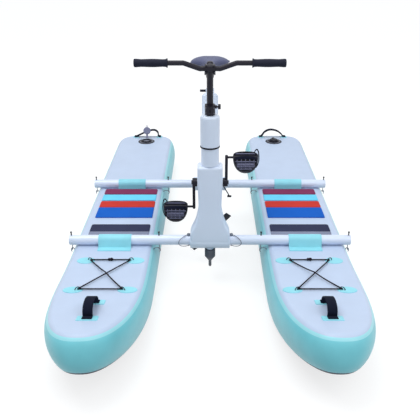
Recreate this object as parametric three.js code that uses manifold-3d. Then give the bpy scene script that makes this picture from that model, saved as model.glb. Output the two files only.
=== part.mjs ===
// A two-pontoon water bike, built from its separate pieces in millimetres.
// The origin is on the ground, midway between the pontoons and midway along them.
// The bow points to -Y, the stern to +Y, and +Z is up. The rider faces the bow.

import * as THREE from "three";
import { mergeVertices } from "three/addons/utils/BufferGeometryUtils.js";
import Module from "manifold-3d";

const wasm = await Module();
wasm.setup();

// Gaps shared by every piece
const restGap = 0.3;
const runGap = 0.5;
const overrun = 4;
const weldDistance = 0.001;

// Facets round a turned piece
const bigSides = 22;
const midSides = 14;
const lowSides = 12;
const smallSides = 8;
const hexSides = 6;
const squareSides = 4;

// Pontoons
const pontoonLength = 2690;
const pontoonWidth = 456;
const pontoonThickness = 220;
const pontoonSpacing = 944;
const wallInset = 35;
const bowLength = 617;
const bowExponent = 2.28;
const sternLength = 190;
const sternExponent = 3.4;
const noseRise = 101;
const riseBehindTube = 17;
const bowCount = 10;
const riseCount = 3;
const sternCount = 5;
const wallCount = 6;

// Deck pads: four coloured ones amidships, and one with a sloping front behind the front tube
const padWidth = 312;
const padThickness = 6;
const padEdge = 2;
const padsFrontY = -132;
const bluePadLength = 126;
const redPadLength = 84;
const skyPadLength = 79;
const maroonPadLength = 77;
const padJoint = 4;
const padSpace = 14;
const treadFrontY = -336;
const treadLength = 115;
const treadBevel = 10;

// Glued patches, rings and the valve seat
const patchThickness = 3;
const patchSink = 2;
const patchLength = 86;
const patchDepth = 62;
const patchSides = 8;
const stapleRadius = 12.5;
const stapleWire = 2;
const footPatchWidth = 84;
const footPatchLength = 44;
const ringRadius = 12;
const ringWire = 2;
const ringDrop = 27.5;
const valveInset = 169;
const valveFlangeRadius = 60;
const valveCollarRadius = 34;
const valveBoreRadius = 26;
const valveBoreDepth = 16;
const valveCollarHeight = 11;
const capRadius = 42;
const capHeight = 12;
const capWall = 3;
const capHingeReach = 52;
const capPinRadius = 3;
const capOpenAngle = 105;

// Bungee over each bow
const bungeeDiameter = 6;
const bungeeBackShare = 0.1857142857;
const bungeeFrontShare = 0.510989011;
const bungeeHalfWidth = 96;
const bungeeCorner = 14;
const bungeeHump = 7;
const knotRadius = 8;
const knotLength = 26;
const bungeeSteps = 56;

// Webbing handles
const webThickness = 4;
const bowHandleShare = 0.7307692307692308;
const bowHandleSpan = 132;
const bowHandleHeight = 54;
const bowHandleWidth = 55;
const sternHandleInset = 59;
const sternHandleSpan = 150;
const sternHandleHeight = 52;
const sternHandleWidth = 38;
const handleFoot = 24;

// Cross tubes, their straps and their hook bolts
const tubeDiameter = 50;
const tubeWall = 2.5;
const tubeOverhang = 10;
const tubeCap = 5;
const drainRadius = 4;
const frontTubeY = -435;
const rearTubeY = 297;
const tubeInnerEnd = 30;
const strapWidth = 163;
const strapThickness = 3;
const strapReach = 72;
const strapGap = 0.6;
const strapBend = 36;
const boltRadius = 3;
const boltHead = 5;
const boltHeadHeight = 5;
const boltRise = 15;
const hookInset = 10;
const hookWire = 2;
const hookDrop = 25;
const hookCurl = 7.5;

// Sleeves, spigots and lock pins
const sleeveDiameter = 83;
const sleeveLength = 195;
const spigotWall = 4;
const spigotReach = 28;
const pinRadius = 4;
const pinOut = 9;
const pinHeadRadius = 8;
const pinHeadHeight = 10;
const pinTip = 8;
const bailWire = 2;
const bailReach = 48;
const bailBulge = 34;

// Front pillar and column
const pillarWidth = 112;
const pillarTopZ = 645;
const pillarWall = 4;
const flareTopZ = 480;
const flareFootZ = 292;
const flareFootShare = 0.32;
const flareTopShare = 0.52;
const edgeRound = 9;
const columnDiameter = 83;
const columnHeight = 88;
const columnWall = 3.5;
const columnPlate = 8;
const sealHeight = 7;
const sealDiameter = 93;

// Steering head, stem and handlebar
const headDiameter = 90;
const headHeight = 148;
const headShoulder = 16;
const steerTubeDiameter = 38;
const stemDiameter = 30;
const stemInsert = 130;
const stemTravel = 120;
const stockDiameter = 26;
const collarDiameter = 48;
const collarHeight = 46;
const collarEar = 18;
const collarBoltRadius = 4;
const knobRadius = 13;
const knobDepth = 12;
const knobStemRadius = 4;
const knobStemLength = 16;
const knobLobes = 5;
const knobScallop = 3;
const barLift = 170.8;
const barReach = 50;
const barRadius = 11;
const barRise = 24;
const barBendInner = 48;
const barBendOuter = 112;
const barHalf = 324;
const gripLength = 146;
const gripRadius = 18;
const gripWall = 4;
const clampRadius = 19;
const clampWidth = 46;
const neckRadius = 17;

// Rudder
const stockLength = 330;
const rudderTopZ = 196;
const rudderHeight = 124;
const rudderChord = 112;
const rudderSweep = 44;
const rudderThickness = 15;
const rudderBossRadius = 27;
const rudderBossHeight = 40;

// Drive housing and leg guide
const housingWidth = 100;
const housingBottomZ = 348;
const housingTopZ = 490;
const housingShoulderZ = 590;
const housingShoulderReach = 96;
const housingRearY = 40;
const housingWall = 5;
const housingRound = 8;
const crankY = -155;
const crankZ = 440;
const guideSide = 57;
const guideWall = 3;
const guideBottomZ = 219;

// Crank, gears and pedals
const axleRadius = 10;
const axleHalf = 74;
const crankLength = 140;
const armInnerX = 78;
const armThickness = 15;
const armHubRadius = 24;
const armEndRadius = 13;
const hubLobes = 5;
const spindleRadius = 6;
const spindleLength = 152;
const pedalGap = 26;
const pedalWidth = 130;
const pedalRise = 24;
const pedalFall = 86;
const pedalThickness = 20;
const pedalTilt = 38;
const pedalSlot = 12;
const pedalSlotInset = 12;
const pedalRib = 9;
const pedalBossRadius = 11;
const toeStrapThickness = 4;
const toeStrapWidth = 24;
const toeStrapHeight = 46;
const crownTeeth = 24;
const pinionTeeth = 8;
const crownRadius = 42;
const crownFace = 10;
const crownAddendum = 1.7;
const crownDedendum = 2.3;
const crownBack = 6;
const miterTeeth = 12;
const miterRadius = 15;
const miterFace = 6;
const miterAddendum = 1.1;
const miterDedendum = 1.6;
const miterBack = 3;
const toothRootShare = 0.3;
const toothTipShare = 0.13;
const shaftRadius = 5;
const shaftStep = 3;

// Leg and propeller
const pinionClearance = 15;
const podRadius = 27;
const podZ = 183;
const podLength = 118;
const podWall = 4;
const podNose = 34;
const skegDepth = 100;
const skegChord = 84;
const skegThickness = 9;
const propPlane = 62;
const propRadius = 141;
const propHubRadius = 21;
const propHubLength = 36;
const propNoseLength = 30;
const propShaftRadius = 6;
const bladeRootChord = 34;
const bladeMidChord = 52;
const bladeTipChord = 42;
const bladeRootAngle = 58;
const bladeTipAngle = 24;
const bladeThickness = 7;
const bladeTipThickness = 3;
const bladeAngle = 45;
const bladeSections = 8;

// Leg lock lever
const leverY = -366;
const leverZ = 530;
const leverBossRadius = 11;
const leverBossDepth = 10;
const leverRod = 3;
const leverOut = 46;
const leverDown = 88;
const leverBack = 24;
const leverKnob = 8;

// Mast, seat post and saddle
const mastLean = 15;
const mastTopY = 60;
const mastTopZ = 862;
const mastWidth = 86;
const mastDepth = 66;
const mastWall = 3;
const mastChamfer = 12;
const mastTopPlate = 10;
const mastRound = 14;
const postRadius = 15;
const postInsert = 230;
const postRise = 118;
const seatCollarRadius = 23;
const seatCollarHeight = 24;
const seatLeverLength = 62;
const seatLeverThickness = 7;
const seatLeverWidth = 16;
const seatLeverPivot = 5;
const saddleLength = 268;
const saddleWidth = 212;
const saddleHeight = 58;
const saddleOverPost = 68.0207525;
const saddleNoseY = -62;
const saddleNoseWidth = 44;
const saddleChannel = 5;
const railRadius = 3.5;
const railSpread = 22;
const railDrop = 22;
const railLift = 4.6;
const railLength = 130;
const clampBlock = 40;

// Rear strut
const strutWidth = 92;
const strutWall = 4;
const strutTopZ = 478;
const strutBottomZ = 356;
const strutRound = 8;

// Positions worked out from the sizes
const tubeZ = pontoonThickness + restGap + tubeDiameter / 2;
const bowTipY = -pontoonLength / 2;
const riseY = frontTubeY + riseBehindTube;
const noseRiseLength = riseY - bowTipY;
const foredeckLength = frontTubeY - bowTipY;
const bungeeBackY = frontTubeY - foredeckLength * bungeeBackShare;
const bungeeFrontY = frontTubeY - foredeckLength * bungeeFrontShare;
const bowHandleY = frontTubeY - foredeckLength * bowHandleShare;
const sternHandleY = pontoonLength / 2 - sternHandleInset;
const valveY = pontoonLength / 2 - valveInset;
const tubeSpan = pontoonSpacing + pontoonWidth + 2 * (tubeOverhang - hookInset);
const sleeveRadius = sleeveDiameter / 2;
const columnTopZ = pillarTopZ + restGap + columnHeight;
const headBaseZ = columnTopZ + restGap + sealHeight + restGap;
const headTopZ = headBaseZ + headHeight;
const barZ = headTopZ + restGap + collarHeight + barLift;
const legStageLength = crankZ - crownRadius - crownBack - pinionClearance - guideBottomZ;
const pillarRearY = frontTubeY + sleeveRadius;
const lean = THREE.MathUtils.degToRad(mastLean);

// Solids: three.js geometry in and out, joined and cut as closed bodies
function barePositions(geometry) {
  const bare = geometry.index ? geometry.toNonIndexed() : geometry.clone();
  for (const name of Object.keys(bare.attributes)) {
    if (name !== "position") bare.deleteAttribute(name);
  }
  return mergeVertices(bare, weldDistance);
}

function toSolid(geometry) {
  const merged = barePositions(geometry);
  const mesh = new wasm.Mesh({
    numProp: 3,
    vertProperties: merged.attributes.position.array,
    triVerts: new Uint32Array(merged.index.array),
  });
  return new wasm.Manifold(mesh);
}

function toGeometry(solid) {
  const mesh = solid.getMesh();
  const geometry = new THREE.BufferGeometry();
  geometry.setAttribute("position", new THREE.BufferAttribute(Float32Array.from(mesh.vertProperties), 3));
  geometry.setIndex(new THREE.BufferAttribute(mesh.triVerts, 1));
  geometry.computeVertexNormals();
  return geometry;
}

function join(...pieces) {
  return toGeometry(pieces.map(toSolid).reduce((whole, piece) => whole.add(piece)));
}

function cut(piece, ...tools) {
  return toGeometry(tools.map(toSolid).reduce((left, tool) => left.subtract(tool), toSolid(piece)));
}

// Turns a closed mesh right side out if its faces point inwards.
function outward(geometry) {
  const merged = barePositions(geometry);
  const at = merged.attributes.position;
  const index = merged.index.array;
  const [a, b, c] = [new THREE.Vector3(), new THREE.Vector3(), new THREE.Vector3()];
  let volume = 0;
  for (let i = 0; i < index.length; i += 3) {
    a.fromBufferAttribute(at, index[i]);
    b.fromBufferAttribute(at, index[i + 1]);
    c.fromBufferAttribute(at, index[i + 2]);
    volume += a.dot(b.cross(c));
  }
  if (volume < 0) {
    for (let i = 0; i < index.length; i += 3) {
      [index[i + 1], index[i + 2]] = [index[i + 2], index[i + 1]];
    }
  }
  return merged;
}

// Shape helpers
function block(width, depth, height, x = 0, y = 0, z = 0) {
  return new THREE.BoxGeometry(width, depth, height).translate(x, y, z);
}

function along(geometry, axis) {
  if (axis === "z") return geometry.rotateX(Math.PI / 2);
  if (axis === "x") return geometry.rotateZ(-Math.PI / 2);
  return geometry;
}

function rod(radius, length, axis, sides = midSides) {
  return along(new THREE.CylinderGeometry(radius, radius, length, sides), axis);
}

// A turned piece from radius and height pairs; height runs along the axis.
function turned(pairs, axis, sides = midSides) {
  const profile = pairs.map(([radius, height]) => new THREE.Vector2(radius, height));
  const lathe = new THREE.LatheGeometry(profile, sides);
  const upright = axis === "z" ? lathe.rotateX(Math.PI / 2) : along(lathe, axis);
  return outward(upright);
}

function ringProfile(outer, inner, height) {
  return [[inner, 0], [outer, 0], [outer, height], [inner, height], [inner, 0]];
}

function shapeOf(points) {
  return new THREE.Shape(points.map(([a, b]) => new THREE.Vector2(a, b)));
}

function extrude(shape, depth, round = 0, roundSteps = 1) {
  const geometry = new THREE.ExtrudeGeometry(shape, {
    depth: depth - 2 * round,
    bevelEnabled: round > 0,
    bevelThickness: round,
    bevelSize: round,
    bevelOffset: -round,
    bevelSegments: roundSteps,
    curveSegments: 4,
  });
  return geometry.translate(0, 0, round - depth / 2);
}

// A profile drawn in Y and Z, as wide as given across X.
function sideProfile(points, width, round = 0) {
  const shape = Array.isArray(points) ? shapeOf(points) : points;
  const turn = new THREE.Matrix4().makeBasis(
    new THREE.Vector3(0, 1, 0),
    new THREE.Vector3(0, 0, 1),
    new THREE.Vector3(1, 0, 0),
  );
  return extrude(shape, width, round).applyMatrix4(turn);
}

// A profile drawn in X and Z, as deep as given along Y.
function frontProfile(points, depth, round = 0, roundSteps = 1) {
  const shape = Array.isArray(points) ? shapeOf(points) : points;
  return extrude(shape, depth, round, roundSteps).rotateX(Math.PI / 2);
}

function circlePoints(radius, sides) {
  return Array.from({ length: sides }, (_, i) => {
    const angle = (2 * Math.PI * i) / sides;
    return [radius * Math.cos(angle), radius * Math.sin(angle)];
  });
}

// A round bar along a smooth curve through the given points.
function wire(points, radius, sides, steps) {
  const curve = new THREE.CatmullRomCurve3(points.map(([x, y, z]) => new THREE.Vector3(x, y, z)));
  return new THREE.ExtrudeGeometry(shapeOf(circlePoints(radius, sides)), {
    steps,
    bevelEnabled: false,
    extrudePath: curve,
  });
}

// The closed outline of a bent strip, from the line along its middle.
function stripOutline(line, thickness) {
  const half = thickness / 2;
  const sides = line.map((point, i) => {
    const before = line[Math.max(i - 1, 0)];
    const after = line[Math.min(i + 1, line.length - 1)];
    const heading = new THREE.Vector2(after[0] - before[0], after[1] - before[1]).normalize();
    const normal = [-heading.y * half, heading.x * half];
    return [[point[0] + normal[0], point[1] + normal[1]], [point[0] - normal[0], point[1] - normal[1]]];
  });
  return [...sides.map((pair) => pair[1]), ...sides.map((pair) => pair[0]).reverse()];
}

// How far the nose lifts the deck at a place along the pontoon.
function noseLift(y) {
  return noseRise * (Math.max(0, riseY - y) / noseRiseLength) ** 2;
}

// Bends a piece made on a level deck up along the rising nose.
function followNose(geometry) {
  const at = geometry.attributes.position;
  for (let i = 0; i < at.count; i += 1) {
    at.setZ(i, at.getZ(i) + noseLift(at.getY(i)));
  }
  return geometry;
}

// Half of a pontoon's outline seen from above, drawn in by an inset, from bow tip to stern.
function pontoonSide(inset) {
  const half = pontoonWidth / 2 - inset;
  const bowStart = bowTipY + bowLength;
  const sternStart = pontoonLength / 2 - sternLength;
  const points = [];
  for (let i = 0; i <= bowCount; i += 1) {
    const angle = (Math.PI / 2) * (1 - i / bowCount);
    const across = Math.cos(angle) ** (2 / bowExponent);
    const forward = Math.sin(angle) ** (2 / bowExponent);
    points.push([i === 0 ? 0 : half * across, bowStart - (bowLength - inset) * forward]);
  }
  for (let i = 1; i <= riseCount; i += 1) {
    points.push([half, bowStart + ((riseY - bowStart) * i) / riseCount]);
  }
  for (let i = 0; i <= sternCount; i += 1) {
    const angle = ((Math.PI / 2) * i) / sternCount;
    const across = Math.cos(angle) ** (2 / sternExponent);
    const back = Math.sin(angle) ** (2 / sternExponent);
    points.push([i === sternCount ? 0 : half * across, sternStart + (sternLength - inset) * back]);
  }
  return points;
}

// The inflated body: outlines stacked from the flat bottom to the flat deck.
function pontoonBody() {
  const positions = [];
  const index = [];
  const sideLength = pontoonSide(0).length;
  const loopLength = 2 * sideLength - 2;
  for (let level = 0; level <= wallCount; level += 1) {
    const angle = Math.PI * (level / wallCount - 0.5);
    const inset = wallInset * (1 - Math.cos(angle));
    const height = (pontoonThickness / 2) * (1 + Math.sin(angle));
    const side = pontoonSide(inset);
    const loop = [...side, ...side.slice(1, -1).reverse().map(([x, y]) => [-x, y])];
    loop.forEach(([x, y]) => positions.push(x, y, height + noseLift(y)));
  }
  const spot = (level, i) => level * loopLength + ((i + loopLength) % loopLength);
  for (let level = 0; level < wallCount; level += 1) {
    for (let i = 0; i < loopLength; i += 1) {
      index.push(spot(level, i), spot(level, i + 1), spot(level + 1, i + 1));
      index.push(spot(level, i), spot(level + 1, i + 1), spot(level + 1, i));
    }
  }
  const face = (a, b, c) => {
    if (a !== b && b !== c && a !== c) index.push(a, b, c);
  };
  for (let i = 0; i < sideLength - 1; i += 1) {
    const under = [spot(0, i), spot(0, i + 1), spot(0, -i - 1), spot(0, -i)];
    const over = under.map((corner) => corner + wallCount * loopLength);
    face(over[0], over[1], over[2]);
    face(over[0], over[2], over[3]);
    face(under[0], under[2], under[1]);
    face(under[0], under[3], under[2]);
  }
  const geometry = new THREE.BufferGeometry();
  geometry.setAttribute("position", new THREE.Float32BufferAttribute(positions, 3));
  geometry.setIndex(index);
  return outward(geometry);
}

// A thin oval glued flat on the deck.
function ovalPatch(x, y) {
  const points = circlePoints(1, patchSides).map(([a, b]) => [(a * patchLength) / 2, (b * patchDepth) / 2]);
  const thickness = patchThickness + patchSink;
  const flat = extrude(shapeOf(points), thickness);
  return flat.translate(x, y, pontoonThickness + patchThickness - thickness / 2);
}

// A half ring that stands on a patch and holds the cord where it turns.
function cordStaple(x, y, angle) {
  const points = Array.from({ length: 5 }, (_, i) => {
    const turn = (Math.PI * i) / 4;
    const out = stapleRadius * Math.cos(turn);
    const up = stapleRadius * Math.sin(turn);
    return [out * Math.cos(angle), out * Math.sin(angle), up];
  });
  const deepFoot = (point) => [point[0], point[1], -patchSink];
  const route = [deepFoot(points[0]), ...points, deepFoot(points[4])];
  return wire(route, stapleWire, squareSides, 6).translate(x, y, pontoonThickness + patchThickness);
}

function footPatch(x, y, width, length) {
  const thickness = patchThickness + patchSink;
  return block(width, length, thickness, x, y, pontoonThickness + patchThickness - thickness / 2);
}

// A wire ring on the pontoon's wall for a tube's hook.
function sideRing(tubeY, side) {
  const centreX = side * (pontoonWidth / 2 - hookInset - ringRadius / 2);
  const centreZ = tubeZ - tubeDiameter / 2 - ringDrop;
  const points = Array.from({ length: 9 }, (_, i) => {
    const turn = Math.PI * (-0.3 + (1.5 * i) / 8);
    const out = side * ringRadius * Math.cos(turn);
    return [centreX + out, tubeY - hookCurl, centreZ + ringRadius * Math.sin(turn)];
  });
  return wire(points, ringWire, squareSides, 6);
}

const bungeeCorners = [
  [bungeeHalfWidth, bungeeBackY],
  [-bungeeHalfWidth, bungeeFrontY],
  [bungeeHalfWidth, bungeeFrontY],
  [-bungeeHalfWidth, bungeeBackY],
];

// Each anchor's staple stands across the cord's turn, in the plane that halves it.
function bungeeAnchors() {
  const knot = [0, bungeeBackY];
  const stops = [knot, ...bungeeCorners, knot].map(([x, y]) => new THREE.Vector2(x, y));
  return bungeeCorners.map(([x, y], i) => {
    const corner = stops[i + 1];
    const before = stops[i].clone().sub(corner).normalize();
    const after = stops[i + 2].clone().sub(corner).normalize();
    return { x, y, angle: before.add(after).angle() };
  });
}

function valveSeat() {
  const flange = turned([[0, -patchSink], [valveFlangeRadius, -patchSink],
    [valveFlangeRadius, patchThickness], [0, patchThickness]], "z", midSides);
  const collar = turned([[0, 0], [valveCollarRadius, 0],
    [valveCollarRadius, valveCollarHeight], [0, valveCollarHeight]], "z", midSides);
  const lug = block(capHingeReach / 2, capPinRadius * 3, capHeight,
    0, capHingeReach + capPinRadius * 2.5 + restGap, capHeight / 2);
  return join(flange, collar, lug).translate(0, valveY, pontoonThickness);
}

function pontoon() {
  const body = pontoonBody();
  const anchors = bungeeAnchors();
  const outX = patchLength / 4;
  const ovals = anchors.map((a) => ovalPatch(a.x + Math.sign(a.x) * outX, a.y));
  const staples = anchors.map((a) => cordStaple(a.x, a.y, a.angle));
  const bowFeet = [-1, 1].map((way) =>
    footPatch(0, bowHandleY + (way * (bowHandleSpan + handleFoot)) / 2, footPatchWidth, footPatchLength));
  const sternFeet = [-1, 1].map((way) =>
    footPatch((way * (sternHandleSpan + handleFoot)) / 2, sternHandleY, footPatchLength, footPatchWidth / 2));
  const onDeck = [...ovals, ...staples, ...bowFeet, ...sternFeet].map(followNose);
  const rings = [frontTubeY, rearTubeY].flatMap((y) => [sideRing(y, -1), sideRing(y, 1)]);
  const valveHole = rod(valveBoreRadius, 2 * (valveCollarHeight + valveBoreDepth), "z", lowSides);
  valveHole.translate(0, valveY, pontoonThickness + valveCollarHeight);
  return cut(join(body, ...onDeck, ...rings, valveSeat()), valveHole);
}

// Deck pads
function deckPad(length) {
  const [half, top] = [padWidth / 2, padThickness];
  const outline = [[-half, 0], [half, 0], [half, top - padEdge], [half - padEdge, top],
    [-half + padEdge, top], [-half, top - padEdge]];
  return frontProfile(outline, length).translate(0, length / 2, 0);
}

function roundedRectangle(width, height, radius) {
  const [x, y] = [width / 2 - radius, height / 2 - radius];
  const shape = new THREE.Shape();
  shape.absarc(x, y, radius, 0, Math.PI / 2, false);
  shape.absarc(-x, y, radius, Math.PI / 2, Math.PI, false);
  shape.absarc(-x, -y, radius, Math.PI, 1.5 * Math.PI, false);
  shape.absarc(x, -y, radius, 1.5 * Math.PI, 2 * Math.PI, false);
  shape.closePath();
  return shape;
}

function chamferedRectangle(width, height, chamfer) {
  const [x, y] = [width / 2, height / 2];
  return shapeOf([[-x + chamfer, -y], [x - chamfer, -y], [x, -y + chamfer], [x, y - chamfer],
    [x - chamfer, y], [-x + chamfer, y], [-x, y - chamfer], [-x, -y + chamfer]]);
}

function treadPad() {
  const base = pontoonThickness + restGap;
  const top = base + padThickness;
  const front = treadFrontY;
  const back = treadFrontY + treadLength;
  return sideProfile([[front, base], [back, base], [back, top], [front + treadBevel, top]], padWidth);
}

// Bungee: from the knot round the four anchors and back over itself
function bungeeRoute() {
  const lowZ = pontoonThickness + patchThickness + restGap + bungeeDiameter / 2;
  const corner = ([x, y]) => new THREE.Vector3(x, y, lowZ + noseLift(y));
  const knot = new THREE.Vector3(0, bungeeBackY, lowZ + noseLift(bungeeBackY));
  const stops = [knot, ...bungeeCorners.map(corner), knot];
  const route = [stops[0].clone().add(new THREE.Vector3(bungeeDiameter / 3, 0, 0))];
  for (let i = 1; i < stops.length - 1; i += 1) {
    const before = stops[i - 1].clone().sub(stops[i]).normalize();
    const after = stops[i + 1].clone().sub(stops[i]).normalize();
    route.push(stops[i].clone().addScaledVector(before, bungeeCorner));
    const inner = before.clone().add(after).normalize();
    route.push(stops[i].clone().addScaledVector(inner, bungeeCorner / 12));
    route.push(stops[i].clone().addScaledVector(after, bungeeCorner));
    if (i === 1 || i === 3) {
      const lift = i === 3 ? bungeeHump : 0;
      for (const share of [0.3, 0.42, 0.5, 0.58, 0.7]) {
        const point = stops[i].clone().lerp(stops[i + 1], share);
        point.z += share > 0.35 && share < 0.65 ? lift : lift / 2;
        route.push(point);
      }
    }
  }
  route.push(knot.clone().sub(new THREE.Vector3(bungeeDiameter / 3, 0, 0)));
  return route.map((p) => [p.x, p.y, p.z]);
}

function bungee() {
  const cord = wire(bungeeRoute(), bungeeDiameter / 2, hexSides, bungeeSteps);
  const half = knotLength / 2;
  const knot = turned([[0, -half], [knotRadius * 0.7, -half * 0.7], [knotRadius, 0],
    [knotRadius * 0.7, half * 0.7], [0, half]], "x", smallSides);
  const lift = pontoonThickness + restGap + knotRadius;
  knot.translate(0, bungeeBackY, lift + noseLift(bungeeBackY));
  return join(cord, knot);
}

// Handles of flat webbing: a flat foot, an arch and another foot
function archLine(span, height) {
  const low = webThickness / 2;
  const line = [[-span / 2 - handleFoot, low]];
  for (let i = 0; i <= 10; i += 1) {
    const turn = Math.PI * (1 - i / 10);
    line.push([(span / 2) * Math.cos(turn), low + (height - webThickness) * Math.sin(turn) ** 0.8]);
  }
  line.push([span / 2 + handleFoot, low]);
  return line;
}

function bowHandle() {
  const outline = stripOutline(archLine(bowHandleSpan, bowHandleHeight), webThickness);
  const arch = sideProfile(outline, bowHandleWidth);
  arch.translate(0, bowHandleY, pontoonThickness + patchThickness + restGap);
  return followNose(arch);
}

function sternHandle() {
  const outline = stripOutline(archLine(sternHandleSpan, sternHandleHeight), webThickness);
  const arch = frontProfile(outline, sternHandleWidth);
  return arch.translate(0, sternHandleY, pontoonThickness + patchThickness + restGap);
}

// A sheet strap with a flap on the deck, which goes over the tube and down its other side
function tubeStrap(tubeY, way) {
  const radius = tubeDiameter / 2 + strapGap + strapThickness / 2;
  const low = pontoonThickness + restGap + strapThickness / 2;
  const fall = tubeZ - low;
  const toBend = Math.hypot(strapBend, fall);
  const tangent = Math.PI + Math.atan2(fall, strapBend) - Math.acos(radius / toBend);
  const line = [[-strapReach, low], [-strapBend, low]];
  for (let i = 0; i <= 12; i += 1) {
    const turn = tangent - (tangent * i) / 12;
    line.push([radius * Math.cos(turn), tubeZ + radius * Math.sin(turn)]);
  }
  line.push([radius, pontoonThickness + restGap]);
  const strap = sideProfile(stripOutline(line, strapThickness), strapWidth);
  const turned = way > 0 ? strap.rotateZ(Math.PI) : strap;
  return followNose(turned.translate(0, tubeY, 0));
}

// The valve's cap: a shallow cup, hinged behind the collar
function valveCap() {
  const cup = turned([[0, capHeight], [capRadius - capWall, capHeight], [capRadius, capHeight - capWall],
    [capRadius, 0], [capRadius - capWall, 0], [capRadius - capWall, capHeight - capWall],
    [0, capHeight - capWall]], "z", midSides);
  const arm = block(capHingeReach / 3, capHingeReach - capRadius + capWall, capHeight - capWall,
    0, (capHingeReach + capRadius - capWall) / 2, (capHeight + capWall) / 2);
  const barrel = rod(capPinRadius, capHingeReach / 2, "x", smallSides);
  barrel.translate(0, capHingeReach, capHeight - capPinRadius);
  const cap = join(cup, arm, barrel);
  return cap.translate(0, -capHingeReach, -capHeight + capPinRadius);
}

// Cross tubes with their hook bolts
function hookBolt() {
  const radius = tubeDiameter / 2;
  const inWall = radius - tubeWall / 2;
  const bolt = turned([[0, inWall], [boltRadius, inWall], [boltRadius, radius + boltRise],
    [boltHead, radius + boltRise], [boltHead, radius + boltRise + boltHeadHeight],
    [0, radius + boltRise + boltHeadHeight]], "z", hexSides);
  const route = [
    [0, 0, -inWall],
    [0, 0, -radius - hookDrop + hookCurl],
    [0, -hookCurl * 0.3, -radius - hookDrop + hookCurl * 0.3],
    [0, -hookCurl, -radius - hookDrop],
    [0, -hookCurl * 1.7, -radius - hookDrop + hookCurl * 0.3],
    [0, -hookCurl * 2, -radius - hookDrop + hookCurl],
    [0, -hookCurl * 2, -radius - hookDrop + hookCurl * 1.6],
  ];
  return join(bolt, wire(route, hookWire, squareSides, 6));
}

function tubeEndProfile(length) {
  const radius = tubeDiameter / 2;
  const bore = radius - tubeWall;
  return [[0, length], [radius - tubeWall, length], [radius, length - tubeWall], [radius, 0],
    [bore, 0], [bore, length - tubeCap], [0, length - tubeCap]];
}

function hookPlaces(side) {
  const reach = pontoonWidth / 2 - hookInset;
  return [side * (pontoonSpacing / 2 - reach), side * (pontoonSpacing / 2 + reach)];
}

function frontHalfTube(side) {
  const length = tubeSpan / 2 - tubeInnerEnd;
  const tube = turned(tubeEndProfile(length), "x", midSides).translate(tubeInnerEnd, 0, 0);
  const placed = side > 0 ? tube : tube.rotateZ(Math.PI);
  const bolts = hookPlaces(side).map((x) => hookBolt().translate(x, 0, 0));
  const hole = rod(pinRadius + runGap, tubeDiameter + overrun, "z", smallSides);
  hole.translate(side * pinX(), 0, 0);
  return cut(join(placed, ...bolts), hole);
}

function rearTube() {
  const half = tubeSpan / 2;
  const radius = tubeDiameter / 2;
  const bore = radius - tubeWall;
  const inner = half - tubeCap;
  const tube = turned([[drainRadius, half], [bore, half], [radius, half - tubeWall], [radius, tubeWall - half],
    [bore, -half], [drainRadius, -half], [drainRadius, -inner], [bore, -inner], [bore, inner],
    [drainRadius, inner], [drainRadius, half]], "x", midSides);
  const bolts = [-1, 1].flatMap((side) => hookPlaces(side).map((x) => hookBolt().translate(x, 0, 0)));
  return join(tube, ...bolts);
}

// Lock pin: it goes down through tube and spigot, and its wire bail passes in front of the tube
function pinX() {
  return sleeveLength / 2 + pinOut;
}

function lockPin(side) {
  const top = tubeDiameter / 2 + restGap;
  const head = turned([[0, -top - pinTip], [pinRadius, -top - pinTip], [pinRadius, top], [pinHeadRadius, top],
    [pinHeadRadius, top + pinHeadHeight - pinRadius / 2], [pinHeadRadius - pinRadius / 2, top + pinHeadHeight],
    [0, top + pinHeadHeight]], "z", lowSides);
  const highZ = top + pinHeadHeight / 2;
  const lowZ = -top - pinTip + bailWire;
  const middle = (highZ + lowZ) / 2;
  const half = (highZ - lowZ) / 2;
  const points = Array.from({ length: 9 }, (_, i) => {
    const turn = (Math.PI * i) / 8;
    const out = Math.sin(turn);
    return [side * bailReach * out, -bailBulge * out, middle + half * Math.cos(turn)];
  });
  return join(head, wire(points, bailWire, 5, 12));
}

// Front pillar: a flared plate casting that rolls into the front sleeve
function pillarOutline(inset) {
  const half = pillarWidth / 2 - inset;
  const foot = sleeveLength / 2 - inset;
  const top = pillarTopZ - inset;
  const base = tubeZ;
  const shape = new THREE.Shape();
  shape.moveTo(-foot, base);
  shape.lineTo(-foot, flareFootZ);
  const lowBend = flareFootZ + (flareTopZ - flareFootZ) * flareFootShare;
  const highBend = flareFootZ + (flareTopZ - flareFootZ) * flareTopShare;
  shape.bezierCurveTo(-foot * 0.92, lowBend, -half, highBend, -half, flareTopZ);
  shape.lineTo(-half, top);
  shape.lineTo(half, top);
  shape.lineTo(half, flareTopZ);
  shape.bezierCurveTo(half, highBend, foot * 0.92, lowBend, foot, flareFootZ);
  shape.lineTo(foot, base);
  shape.closePath();
  return shape;
}

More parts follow.
